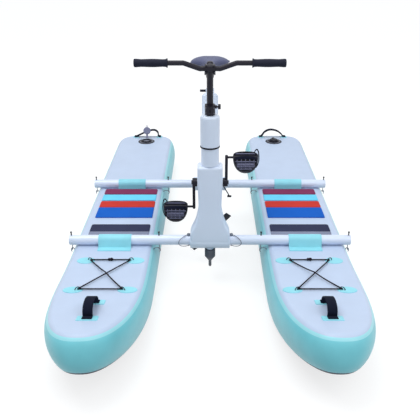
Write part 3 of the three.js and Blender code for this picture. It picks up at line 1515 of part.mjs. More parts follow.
// Both pontoons and what is fastened to their decks
for (const [name, side] of [["left", -1], ["right", 1]]) {
  const hull = group(bike, (side * pontoonSpacing) / 2);
  add(hull, `pontoon_${name}`, pontoon(), finishes.inflated);
  for (const [colour, frontY, length] of padRows) {
    add(hull, `pad_${colour}_${name}`, deckPad(length), finishes[colour], 0, frontY, pontoonThickness + restGap);
  }
  add(hull, `tread_pad_${name}`, treadPad(), finishes.charcoal);
  add(hull, `bungee_${name}`, bungee(), finishes.black);
  add(hull, `bow_handle_${name}`, bowHandle(), finishes.webbing);
  add(hull, `stern_handle_${name}`, sternHandle(), finishes.webbing);
  add(hull, `front_strap_${name}`, tubeStrap(frontTubeY, -1), finishes.teal);
  add(hull, `rear_strap_${name}`, tubeStrap(rearTubeY, 1), finishes.teal);
  const hingeZ = pontoonThickness + patchThickness + restGap + capHeight - capPinRadius;
  const cap = add(hull, `valve_cap_${name}`, valveCap(), finishes.black, 0, valveY + capHingeReach, hingeZ);
  if (side < 0) cap.rotation.x = THREE.MathUtils.degToRad(-capOpenAngle);
  const pinPlace = side * pinX();
  add(bike, `lock_pin_${name}`, lockPin(side), finishes.steel, pinPlace, frontTubeY, tubeZ);
  add(bike, `front_tube_${name}`, frontHalfTube(side), finishes.tube, 0, frontTubeY, tubeZ);
}
add(bike, "rear_tube", rearTube(), finishes.tube, 0, rearTubeY, tubeZ);

// Frame
add(bike, "front_pillar", frontPillar(), finishes.paint, 0, frontTubeY, 0);
add(bike, "column", column(), finishes.paint, 0, frontTubeY, pillarTopZ + restGap);
add(bike, "drive_housing", driveHousing(), finishes.paint);
add(bike, "rear_strut", rearStrut(), finishes.paint);
add(bike, "head_seal", headSeal(), finishes.rubber, 0, frontTubeY, columnTopZ + restGap);

// Steering
const steering = group(bike, 0, frontTubeY, 0);
add(steering, "steering_head", steeringHead(), finishes.paint);
add(steering, "stem_collar", stemCollar(), finishes.black, 0, 0, headTopZ + restGap);
const knobX = collarDiameter / 2 + knobStemRadius * 2 + collarDiameter / 4 - knobStemRadius * 2 + runGap;
add(steering, "star_knob", starKnob(), finishes.black, knobX, 0, headTopZ + restGap + collarHeight * 0.75);
add(steering, "stem", stem(), finishes.black);
const bar = group(steering, 0, -barReach, barZ);
add(bar, "handlebar", handlebar(), finishes.black);
const gripStart = barHalf - gripLength + gripWall + restGap;
add(bar, "grip_right", grip(), finishes.rubber, gripStart, 0, barRise);
add(bar, "grip_left", grip().rotateZ(Math.PI), finishes.rubber, -gripStart, 0, barRise);
add(steering, "rudder", rudder(), finishes.graphite);

// Crank and gears
const crank = group(bike, 0, crankY, crankZ);
add(crank, "crank_axle", crankAxle(), finishes.steel);
add(crank, "crank_arm_left", crankArm(-1, -1), finishes.black);
add(crank, "crank_arm_right", crankArm(1, 1), finishes.black);
add(crank, "pedal_left", pedal(-1), finishes.black, 0, 0, -crankLength);
add(crank, "pedal_right", pedal(1), finishes.black, 0, 0, crankLength);

// Leg and propeller
const leg = group(bike, 0, crankY, 0);
add(leg, "pinion_shaft", pinionShaft(), finishes.steel);
add(leg, "middle_shaft", middleShaft(), finishes.steel);
add(leg, "lower_shaft", lowerShaft(), finishes.steel);
add(leg, "prop_shaft", propShaft(), finishes.steel, 0, 0, podZ);
add(leg, "propeller", propeller(), finishes.black, 0, -propPlane, podZ);
add(bike, "leg_stage", legStage(), finishes.tube);
add(bike, "leg_pod", legPod(), finishes.graphite);
add(bike, "leg_lock_lever", lockLever(), finishes.black, housingWidth / 2 + restGap, leverY, leverZ);

// Seat
const seat = group(bike, 0, mastTopY, mastTopZ);
seat.rotation.x = -lean;
add(seat, "seat_mast", seatMast(), finishes.paint);
add(seat, "seat_post", seatPost(), finishes.black);
const leverX = seatCollarRadius * 0.4;
const leverOutY = seatCollarRadius + seatLeverPivot * 3.1 + restGap;
add(seat, "seat_lever", seatLever(), finishes.black, leverX, leverOutY, seatCollarHeight * 0.6);
add(bike, "rail_clamp", railClamp(), finishes.black);
add(bike, "saddle", saddle(), finishes.rubber, 0, saddleNoseY, saddleBaseZ);

export default bike;
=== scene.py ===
"""Dresses a pontoon water bike: two inflated hulls, cross tubes, frame, steering, drive and seat.

Every length is in metres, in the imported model's frame: the bow points to -Y and +Z is up.
"""

from __future__ import annotations

import logging
import math
from dataclasses import dataclass, field, replace
from enum import Enum
from typing import Callable, Iterable, Sequence

import bmesh
import bpy
from mathutils import Matrix, Vector

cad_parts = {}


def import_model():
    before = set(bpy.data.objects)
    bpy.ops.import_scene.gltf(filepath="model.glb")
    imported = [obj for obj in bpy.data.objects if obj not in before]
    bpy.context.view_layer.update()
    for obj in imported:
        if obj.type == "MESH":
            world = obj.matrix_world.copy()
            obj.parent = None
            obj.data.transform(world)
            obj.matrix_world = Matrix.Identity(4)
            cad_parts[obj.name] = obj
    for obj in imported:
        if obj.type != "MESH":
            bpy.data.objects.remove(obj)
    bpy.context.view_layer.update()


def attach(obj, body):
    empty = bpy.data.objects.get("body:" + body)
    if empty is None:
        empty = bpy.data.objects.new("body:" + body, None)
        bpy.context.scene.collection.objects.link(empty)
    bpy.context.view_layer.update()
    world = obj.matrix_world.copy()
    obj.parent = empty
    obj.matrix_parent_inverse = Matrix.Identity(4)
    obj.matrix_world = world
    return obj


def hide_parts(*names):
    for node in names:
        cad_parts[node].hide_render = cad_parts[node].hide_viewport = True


LOG = logging.getLogger("water_bike")

Point = Sequence[float]
Pairs = tuple[tuple[float, float], ...]
Ring = list[Vector]

BASE = "frame"
SIDES: dict[str, int] = {"left": -1, "right": 1}
OPEN_VALVE = "left"
HULL_X = 0.472
HULL_TOP = 0.220
TUBE_Z = 0.2453
FRONT_Y = -0.435
REAR_Y = 0.297
REST_GAP = 0.0003
WIRE = 0.002
WIRE_SIDES = 12
DECK_ROUNDS = 4

# Scale and detail of the noises that mottle the colour and vary the roughness
CLOUD = (9.0, 4.0)
PATCHES = (60.0, 3.0)

FINE_DETAIL = 2.0
ROUGH_SPREAD = 0.07
COAT_ROUGH = 0.25
RELIEF_DEPTH = 0.0006

WELD = 1e-6
FLAT_ANGLE = 0.5
EDGE_ANGLE = 38.0
CURVE_STEPS = 24


class Grain(Enum):
    """The surface textures that the finishes use."""

    COAT = "coat"
    CLOTH = "cloth"
    FOAM = "foam"
    DIAMOND = "diamond"
    WEB = "web"
    BRUSHED = "brushed"
    LEATHER = "leather"
    PLAIN = "plain"


class Axis(Enum):
    """The axis that a turned piece goes round."""

    X = 0
    Y = 1
    Z = 2


def joined(tree: bpy.types.NodeTree, one: bpy.types.NodeSocket, other: bpy.types.NodeSocket,
           way: str) -> bpy.types.NodeSocket:
    """Joins two values with a sum, product, smaller or larger.

    Args:
        tree: The nodes that take it.
        one: The first value.
        other: The second value.
        way: The operation's name.

    Returns:
        The joined value.
    """
    node = tree.nodes.new("ShaderNodeMath")
    node.operation = way
    tree.links.new(one, node.inputs[0])
    tree.links.new(other, node.inputs[1])
    return node.outputs["Value"]


@dataclass(frozen=True)
class Finish:
    """A paint, cloth, metal or plastic, with its colour in sRGB from 0 to 255."""

    name: str
    slot: str
    colour: tuple[int, int, int]
    rough: float
    grain: Grain = Grain.PLAIN
    metal: float = 0.0
    mottle: float = 0.06
    relief: float = 0.12
    scale: float = 400.0
    shine: float = 0.5
    coat: float = 0.0

    def linear(self) -> tuple[float, float, float, float]:
        """Works out the colour in linear light.

        Returns:
            Red, green, blue and alpha.
        """
        channels = [c / 255.0 for c in self.colour]
        values = [c / 12.92 if c < 0.04045 else ((c + 0.055) / 1.055) ** 2.4 for c in channels]
        return (values[0], values[1], values[2], 1.0)

    def material(self) -> bpy.types.Material:
        """Builds the material once, from its colour, mottling, roughness and relief.

        Returns:
            The material.
        """
        found = bpy.data.materials.get(self.name)
        if found is not None:
            return found
        made = bpy.data.materials.new(self.name)
        made.use_nodes = True
        tree = made.node_tree
        shader = tree.nodes["Principled BSDF"]
        shader.inputs["Metallic"].default_value = self.metal
        shader.inputs["Coat Weight"].default_value = self.coat
        shader.inputs["Coat Roughness"].default_value = COAT_ROUGH
        shader.inputs["Specular IOR Level"].default_value = self.shine
        place = tree.nodes.new("ShaderNodeTexCoord").outputs["Object"]
        self._tint(tree, self._noise(tree, place, *CLOUD), shader)
        self._roughness(tree, place, shader)
        self._bump(tree, place, shader)
        return made

    def _noise(self, tree: bpy.types.NodeTree, place: bpy.types.NodeSocket, scale: float,
               detail: float) -> bpy.types.NodeSocket:
        """Adds a noise texture.

        Args:
            tree: The material's nodes.
            place: The coordinates.
            scale: The noise's cells per metre.
            detail: The noise's octaves.

        Returns:
            The noise's value.
        """
        noise = tree.nodes.new("ShaderNodeTexNoise")
        noise.inputs["Scale"].default_value = scale
        noise.inputs["Detail"].default_value = detail
        tree.links.new(place, noise.inputs["Vector"])
        return noise.outputs["Fac"]

    def _tint(self, tree: bpy.types.NodeTree, cloud: bpy.types.NodeSocket,
              shader: bpy.types.Node) -> None:
        """Mottles the colour a little.

        Args:
            tree: The material's nodes.
            cloud: The slow noise.
            shader: The surface shader.
        """
        ramp = tree.nodes.new("ShaderNodeValToRGB")
        base = self.linear()
        ends = (1.0 - self.mottle, 1.0 + self.mottle * 0.6)
        for stop, (where, gain) in zip(ramp.color_ramp.elements, zip((0.3, 0.7), ends)):
            stop.position = where
            stop.color = (*[min(1.0, c * gain) for c in base[:3]], 1.0)
        tree.links.new(cloud, ramp.inputs["Fac"])
        tree.links.new(ramp.outputs["Color"], shader.inputs["Base Color"])

    def _roughness(self, tree: bpy.types.NodeTree, place: bpy.types.NodeSocket,
                   shader: bpy.types.Node) -> None:
        """Varies the roughness with a middle-sized noise.

        Args:
            tree: The material's nodes.
            place: The coordinates.
            shader: The surface shader.
        """
        spread = tree.nodes.new("ShaderNodeMapRange")
        spread.inputs["To Min"].default_value = max(0.05, self.rough - ROUGH_SPREAD)
        spread.inputs["To Max"].default_value = min(1.0, self.rough + ROUGH_SPREAD)
        tree.links.new(self._noise(tree, place, *PATCHES), spread.inputs["Value"])
        tree.links.new(spread.outputs["Result"], shader.inputs["Roughness"])

    def _wave(self, tree: bpy.types.NodeTree, place: bpy.types.NodeSocket, turn: Point,
              scale: float) -> bpy.types.NodeSocket:
        """Adds straight bands.

        Args:
            tree: The material's nodes.
            place: The coordinates.
            turn: The bands' turn about each axis, in degrees.
            scale: The bands' scale.

        Returns:
            The bands' value.
        """
        mapping = tree.nodes.new("ShaderNodeMapping")
        mapping.inputs["Rotation"].default_value = [math.radians(a) for a in turn]
        wave = tree.nodes.new("ShaderNodeTexWave")
        wave.inputs["Scale"].default_value = scale
        tree.links.new(place, mapping.inputs["Vector"])
        tree.links.new(mapping.outputs["Vector"], wave.inputs["Vector"])
        return wave.outputs["Fac"]

    def _height(self, tree: bpy.types.NodeTree, place: bpy.types.NodeSocket) -> bpy.types.NodeSocket:
        """Adds the pattern that the relief follows.

        Args:
            tree: The material's nodes.
            place: The coordinates.

        Returns:
            The pattern's height.
        """
        if self.grain in (Grain.CLOTH, Grain.WEB):
            first = self._wave(tree, place, (0, 0, 0), self.scale)
            second = self._wave(tree, place, (0, 0, 90), self.scale)
            return joined(tree, first, second, "MAXIMUM" if self.grain is Grain.WEB else "ADD")
        if self.grain is Grain.DIAMOND:
            first = self._wave(tree, place, (0, 0, 30), self.scale)
            second = self._wave(tree, place, (0, 0, -30), self.scale)
            return joined(tree, first, second, "MULTIPLY")
        if self.grain in (Grain.FOAM, Grain.LEATHER):
            cells = tree.nodes.new("ShaderNodeTexVoronoi")
            cells.inputs["Scale"].default_value = self.scale
            tree.links.new(place, cells.inputs["Vector"])
            return cells.outputs["Distance"]
        if self.grain is Grain.BRUSHED:
            mapping = tree.nodes.new("ShaderNodeMapping")
            mapping.inputs["Scale"].default_value = (0.05, 1.0, 1.0)
            tree.links.new(place, mapping.inputs["Vector"])
            return self._noise(tree, mapping.outputs["Vector"], self.scale, FINE_DETAIL)
        return self._noise(tree, place, self.scale, FINE_DETAIL)

    def _bump(self, tree: bpy.types.NodeTree, place: bpy.types.NodeSocket,
              shader: bpy.types.Node) -> None:
        """Adds the fine relief.

        Args:
            tree: The material's nodes.
            place: The coordinates.
            shader: The surface shader.
        """
        bump = tree.nodes.new("ShaderNodeBump")
        bump.inputs["Strength"].default_value = self.relief
        bump.inputs["Distance"].default_value = RELIEF_DEPTH
        tree.links.new(self._height(tree, place), bump.inputs["Height"])
        tree.links.new(bump.outputs["Normal"], shader.inputs["Normal"])


DECK = Finish("deck_skin", "pvc", (186, 202, 226), 0.42, Grain.CLOTH, mottle=0.03, relief=0.05, scale=260)
TEAL = Finish("teal_skin", "teal_pvc", (120, 208, 220), 0.38, Grain.CLOTH, relief=0.05, scale=260)
RIM = Finish("rim_tape", "teal_pvc", (158, 224, 234), 0.36, Grain.CLOTH, mottle=0.04, relief=0.05, scale=260)
# Darker navy band on the lowest part of the walls and on the bottom; near the bow it reaches higher up the
# wall
DARK_BOTTOM = Finish("dark_bottom_band", "pvc", (40, 46, 66), 0.5, Grain.CLOTH, relief=0.06, scale=260, shine=0.2)
STRAP = Finish("strap_skin", "teal_pvc", (142, 216, 230), 0.45, Grain.CLOTH, relief=0.1, scale=300)
PADS: dict[str, Finish] = {
    name: Finish(f"foam_{name}", f"pad_{name}", colour, 0.85, Grain.FOAM, relief=0.3, scale=420, shine=0.15)
    for name, colour in (("blue", (20, 94, 190)), ("red", (196, 56, 48)), ("sky", (112, 210, 242)),
                         ("maroon", (126, 52, 88)))}
TREAD = Finish("foam_charcoal", "pad_charcoal", (52, 56, 82), 0.9, Grain.DIAMOND, mottle=0.12, relief=0.9,
               scale=28, shine=0.15)
LIP = replace(TREAD, name="foam_grey", colour=(132, 138, 160))
CORD = Finish("cord_sheath", "cord", (30, 22, 34), 0.8, Grain.CLOTH, mottle=0.2, relief=0.7, scale=240,
              shine=0.15)
WEB = Finish("woven_webbing", "webbing", (20, 24, 42), 0.9, Grain.WEB, mottle=0.14, relief=0.8, scale=130,
             shine=0.12)
BLACK = Finish("moulded_black", "black_plastic", (20, 20, 34), 0.45, Grain.COAT, mottle=0.12, relief=0.25,
               scale=900, shine=0.3)
# Painted highlight: the pedal is black, and its ribs and blocks are coloured grey to stand in for the light
# that they catch
PEDAL_RIB_HIGHLIGHT = replace(BLACK, name="rib_painted_highlight", colour=(112, 114, 142), rough=0.5, shine=0.35)
GRAPHITE = Finish("graphite", "graphite_plastic", (86, 90, 100), 0.5, Grain.COAT, mottle=0.15, relief=0.3,
                  scale=700, shine=0.35)
PAINT = Finish("powder_coat", "frame_paint", (222, 234, 252), 0.35, Grain.COAT, mottle=0.02, relief=0.04,
               scale=500, coat=0.2)
TUBE = Finish("tube_anodised", "tube_alloy", (214, 225, 244), 0.34, Grain.COAT, metal=0.1, mottle=0.02,
              relief=0.02, scale=500)
ALLOY = Finish("anodised_black", "black_alloy", (24, 22, 36), 0.4, Grain.BRUSHED, metal=0.2, mottle=0.1,
               scale=700, shine=0.35)
STEEL = Finish("brushed_wire", "steel", (128, 133, 146), 0.34, Grain.BRUSHED, metal=1.0, mottle=0.08,
               scale=900)
RUBBER = Finish("moulded_rubber", "rubber", (20, 20, 30), 0.7, Grain.COAT, mottle=0.1, relief=0.35, scale=600,
                shine=0.25)
GRIP = Finish("grip_rubber", "rubber", (30, 33, 50), 0.8, Grain.FOAM, mottle=0.1, relief=0.5, scale=330,
              shine=0.25)
SADDLE = Finish("saddle_skin", "saddle_cover", (72, 78, 112), 0.5, Grain.LEATHER, mottle=0.12, relief=0.35,
                scale=420, shine=0.4)
LID = Finish("lid_grey", "black_plastic", (128, 130, 158), 0.4, Grain.COAT, mottle=0.1, relief=0.2, scale=600)
SILVER = replace(LID, name="valve_grey", colour=(120, 124, 138))


class Form:
    """A mesh in the making, in metres."""

    def __init__(self) -> None:
        """Starts an empty mesh."""
        self.mesh = bmesh.new()

    def loft(self, rings: Sequence[Sequence[Vector]], capped: bool = True, looped: bool = False,
             tints: Callable[[int, int], int] | None = None) -> "Form":
        """Skins rings of points, which have one point or one shared count.

        Args:
            rings: The rings, in order.
            capped: Whether the end rings are filled.
            looped: Whether the last ring joins the first.
            tints: Gives a face's finish from its ring and its place in it.

        Returns:
            The form itself.
        """
        rows = [[self.mesh.verts.new(point) for point in ring] for ring in rings]
        pairs = list(zip(rows, rows[1:]))
        if looped:
            pairs.append((rows[-1], rows[0]))
        for level, (low, high) in enumerate(pairs):
            count = max(len(low), len(high))
            for i in range(count):
                j = (i + 1) % count
                corners = [low[i % len(low)], low[j % len(low)], high[j % len(high)], high[i % len(high)]]
                corners = list(dict.fromkeys(corners))
                if len(corners) > 2:
                    face = self.mesh.faces.new(corners)
                    face.material_index = tints(level, i) if tints else 0
        if capped and not looped:
            for row in (rows[0], rows[-1]):
                if len(row) > 2:
                    self.mesh.faces.new(row)
        return self

    def turn(self, profile: Sequence[Point], axis: Axis, sides: int = 48,
             centre: Point = (0, 0, 0)) -> "Form":
        """Adds a turned piece.

        Args:
            profile: Pairs of radius and place along the axis.
            axis: The axis.
            sides: The facets round it.
            centre: Where the axis's zero lies.

        Returns:
            The form itself.
        """
        spot = Vector(centre)
        first, second = (axis.value + 1) % 3, (axis.value + 2) % 3
        rings: list[Ring] = []
        closed = tuple(profile[0]) == tuple(profile[-1])
        for radius, along in (profile[:-1] if closed else profile):
            ring: Ring = []
            for i in range(1 if radius == 0 else sides):
                angle = 2 * math.pi * i / sides
                point = Vector((0, 0, 0))
                point[axis.value] = along
                point[first] = radius * math.cos(angle)
                point[second] = radius * math.sin(angle)
                ring.append(spot + point)
            rings.append(ring)
        return self.loft(rings, capped=not closed, looped=closed)

    def sweep(self, path: Sequence[Vector], section: Callable[[float], Sequence[Point]],
              up: Vector | None = None, looped: bool = False) -> "Form":
        """Sweeps a section along a path.

        Args:
            path: The path's points.
            section: Gives the section's points from the share of the way along.
            up: A fixed direction for the section's second side, for a flat strip.
            looped: Whether the path closes on itself.

        Returns:
            The form itself.
        """
        rings: list[Ring] = []
        count = len(path)
        across = None
        for i, point in enumerate(path):
            before = path[(i - 1) % count] if looped else path[max(i - 1, 0)]
            after = path[(i + 1) % count] if looped else path[min(i + 1, count - 1)]
            ahead = (after - before).normalized()
            if up is not None:
                across = up.normalized()
            elif across is None:
                across = ahead.orthogonal().normalized()
            else:
                across = (across - ahead * across.dot(ahead)).normalized()
            side = ahead.cross(across).normalized()
            share = i / max(1, count - 1)
            rings.append([point + across * a + side * b for a, b in section(share)])
        return self.loft(rings, looped=looped)

    def rod(self, path: Sequence[Point], radius: float, sides: int = 16, steps: int = 0,
            looped: bool = False) -> "Form":
        """Adds a round wire or tube along points, smoothed where steps are given.

        Args:
            path: The points.
            radius: The wire's radius.
            sides: The facets round it.
            steps: The points in the smooth path, or 0 to keep the points.
            looped: Whether it closes on itself.

        Returns:
            The form itself.
        """
        spots = [Vector(p) for p in path]
        if steps:
            spots = flowing(spots, steps, looped)
        turns = [math.tau * i / sides for i in range(sides)]
        ring = [(radius * math.cos(turn), radius * math.sin(turn)) for turn in turns]
        return self.sweep(spots, lambda _: ring, looped=looped)

    def strip(self, path: Sequence[Point], across: Point, width: float, thick: float,
              steps: int = 0) -> "Form":
        """Adds a flat strap with rounded edges.

        Args:
            path: The middle line's points.
            across: The direction of the strap's width.
            width: The strap's width.
            thick: The strap's thickness.
            steps: The points in the smooth path, or 0 to keep the points.

        Returns:
            The form itself.
        """
        spots = [Vector(p) for p in path]
        if steps:
            spots = flowing(spots, steps, False)
        half, edge = width / 2, thick / 2
        turns = [math.pi * k / 4 for k in range(5)]
        ring = [(half - edge + edge * math.sin(a), edge * math.cos(a)) for a in turns]
        ring += [(-half + edge - edge * math.sin(a), -edge * math.cos(a)) for a in turns]
        return self.sweep(spots, lambda _: ring, up=Vector(across))

    def plate(self, outlines: Sequence[Sequence[Point]], depth: float, edge: float,
              place: Matrix, steps: int = 3) -> "Form":
        """Adds a flat plate with rounded edges, and holes where outlines lie inside others.

        Args:
            outlines: The outlines, in the plate's own plane.
            depth: The plate's thickness.
            edge: The edges' rounding.
            place: Takes the plate's own frame to the model's.
            steps: The facets in a rounded edge.

        Returns:
            The form itself.
        """
        curve = bpy.data.curves.new("outline", "CURVE")
        curve.dimensions = "2D"
        curve.fill_mode = "BOTH"
        curve.extrude = depth / 2 - edge
        curve.bevel_depth = edge
        curve.bevel_resolution = steps
        curve.offset = -edge
        for outline in outlines:
            spline = curve.splines.new("POLY")
            spline.points.add(len(outline) - 1)
            for spot, (u, v) in zip(spline.points, outline):
                spot.co = (u, v, 0.0, 1.0)
            spline.use_cyclic_u = True
        holder = bpy.data.objects.new("outline", curve)
        flat = bpy.data.meshes.new_from_object(holder)
        flat.transform(place)
        part = bmesh.new()
        part.from_mesh(flat)
        bmesh.ops.remove_doubles(part, verts=part.verts, dist=WELD)
        part.to_mesh(flat)
        part.free()
        self.mesh.from_mesh(flat)
        bpy.data.meshes.remove(flat)
        bpy.data.objects.remove(holder)
        bpy.data.curves.remove(curve)
        return self

    def moved(self, matrix: Matrix) -> "Form":
        """Moves all that the form holds so far.

        Args:
            matrix: The move.

        Returns:
            The form itself.
        """
        bmesh.ops.transform(self.mesh, matrix=matrix, verts=self.mesh.verts)
        return self

    def piece(self, name: str, finishes: Finish | Sequence[Finish], body: str,
              stands_for: Iterable[str] = (), sharp: float = 32.0, bevel: float = 0.0) -> bpy.types.Object:
        """Makes the form an object that rides on a body.

        Args:
            name: The piece's name.
            finishes: Its finish, or one for each face index.
            body: The body that carries it.
            stands_for: The nodes that it replaces.
            sharp: The angle in degrees past which an edge stays sharp.
            bevel: The rounding of sharp edges, or 0.

        Returns:
            The object.
        """
        bmesh.ops.recalc_face_normals(self.mesh, faces=self.mesh.faces)
        data = bpy.data.meshes.new(name)
        self.mesh.to_mesh(data)
        self.mesh.free()
        data.shade_smooth()
        data.set_sharp_from_angle(angle=math.radians(sharp))
        wanted = [finishes] if isinstance(finishes, Finish) else list(finishes)
        for finish in wanted:
            data.materials.append(finish.material())
        made = bpy.data.objects.new(name, data)
        bpy.context.scene.collection.objects.link(made)
        if bevel:
            rounding = made.modifiers.new("edges", "BEVEL")
            rounding.width = bevel
            rounding.segments = 2
            rounding.limit_method = "ANGLE"
            rounding.angle_limit = math.radians(EDGE_ANGLE)
            rounding.harden_normals = True
        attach(made, body)
        nodes = list(stands_for)
        if nodes:
            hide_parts(*nodes)
        LOG.info("%s rides on %s", name, body)
        return made


def flowing(spots: Sequence[Vector], steps: int, looped: bool) -> list[Vector]:
    """Returns points evenly spaced along a smooth curve through the spots.

    Args:
        spots: The points to pass through.
        steps: How many points to return.
        looped: Whether the curve closes on itself.

    Returns:
        The smooth path.
    """
    count = len(spots)
    spans = count if looped else count - 1
    fine: list[Vector] = []
    for k in range(spans):
        if looped:
            a, b, c, d = (spots[(k + n) % count] for n in (-1, 0, 1, 2))
        else:
            a, b, c, d = (spots[min(max(k + n, 0), count - 1)] for n in (-1, 0, 1, 2))
        for s in range(CURVE_STEPS):
            t = s / CURVE_STEPS
            fine.append(0.5 * ((2 * b) + (c - a) * t + (2 * a - 5 * b + 4 * c - d) * t * t
                               + (3 * b - a - 3 * c + d) * t ** 3))
    fine.append(spots[0].copy() if looped else spots[-1].copy())
    lengths = [0.0]
    for one, two in zip(fine, fine[1:]):
        lengths.append(lengths[-1] + (two - one).length)
    total = lengths[-1]
    path: list[Vector] = []
    at = 0
    for s in range(steps):
        want = total * s / (steps if looped else steps - 1)
        while at < len(fine) - 2 and lengths[at + 1] < want:
            at += 1
        span = lengths[at + 1] - lengths[at]
        share = 0.0 if span == 0 else min(1.0, (want - lengths[at]) / span)
        path.append(fine[at].lerp(fine[at + 1], share))
    return path


def front_plane(y: float) -> Matrix:
    """Returns the matrix of a plate that faces the bow at a given y."""
    return Matrix(((1, 0, 0, 0), (0, 0, -1, y), (0, 1, 0, 0), (0, 0, 0, 1)))


def flat_plane(z: float) -> Matrix:
    """Returns the matrix of a level plate at a given height."""
    return Matrix.Translation((0, 0, z))


def arc(centre: Point, radius: float, start: float, end: float, steps: int) -> list[tuple[float, float]]:
    """Returns points on an arc.

    Args:
        centre: The arc's centre.
        radius: Its radius.
        start: The first angle in degrees.
        end: The last angle in degrees.
        steps: The spans between them.

    Returns:
        The points.
    """
    spots = []
    for k in range(steps + 1):
        turn = math.radians(start + (end - start) * k / steps)
        spots.append((centre[0] + radius * math.cos(turn), centre[1] + radius * math.sin(turn)))
    return spots


def rounded_box(width: float, height: float, radius: float, steps: int = 6,
                centre: Point = (0.0, 0.0)) -> list[tuple[float, float]]:
    """Returns a rectangle's outline with round corners.

    Args:
        width: Its width.
        height: Its height.
        radius: The corners' radius.
        steps: The spans in a corner.
        centre: Its centre.

    Returns:
        The outline.
    """
    x, y = width / 2 - radius, height / 2 - radius
    spots: list[tuple[float, float]] = []
    for (sx, sy), start in (((1, 1), 0), ((-1, 1), 90), ((-1, -1), 180), ((1, -1), 270)):
        spots += arc((centre[0] + sx * x, centre[1] + sy * y), radius, start, start + 90, steps)
    return spots


def dressed(name: str, node: str, finish: Finish, body: str, bevel: float = 0.0006,
            sharp: float = 40.0) -> bpy.types.Object:
    """Stands a rounded, finished piece in a node's place, with the node's own outline.

    Args:
        name: The piece's name.
        node: The node whose shape it takes.
        finish: Its finish.
        body: The body that carries it.
        bevel: The rounding of its sharp edges.
        sharp: The angle in degrees past which an edge stays sharp.

    Returns:
        The object.
    """
    source = bpy.data.objects[node]
    form = Form()
    form.mesh.from_mesh(source.data)
    bmesh.ops.remove_doubles(form.mesh, verts=form.mesh.verts, dist=WELD)
    bmesh.ops.dissolve_limit(form.mesh, angle_limit=math.radians(FLAT_ANGLE), verts=form.mesh.verts,
                             edges=form.mesh.edges)
    for face in form.mesh.faces:
        face.material_index = 0
    return form.piece(name, finish, body, [node], sharp=sharp, bevel=bevel)


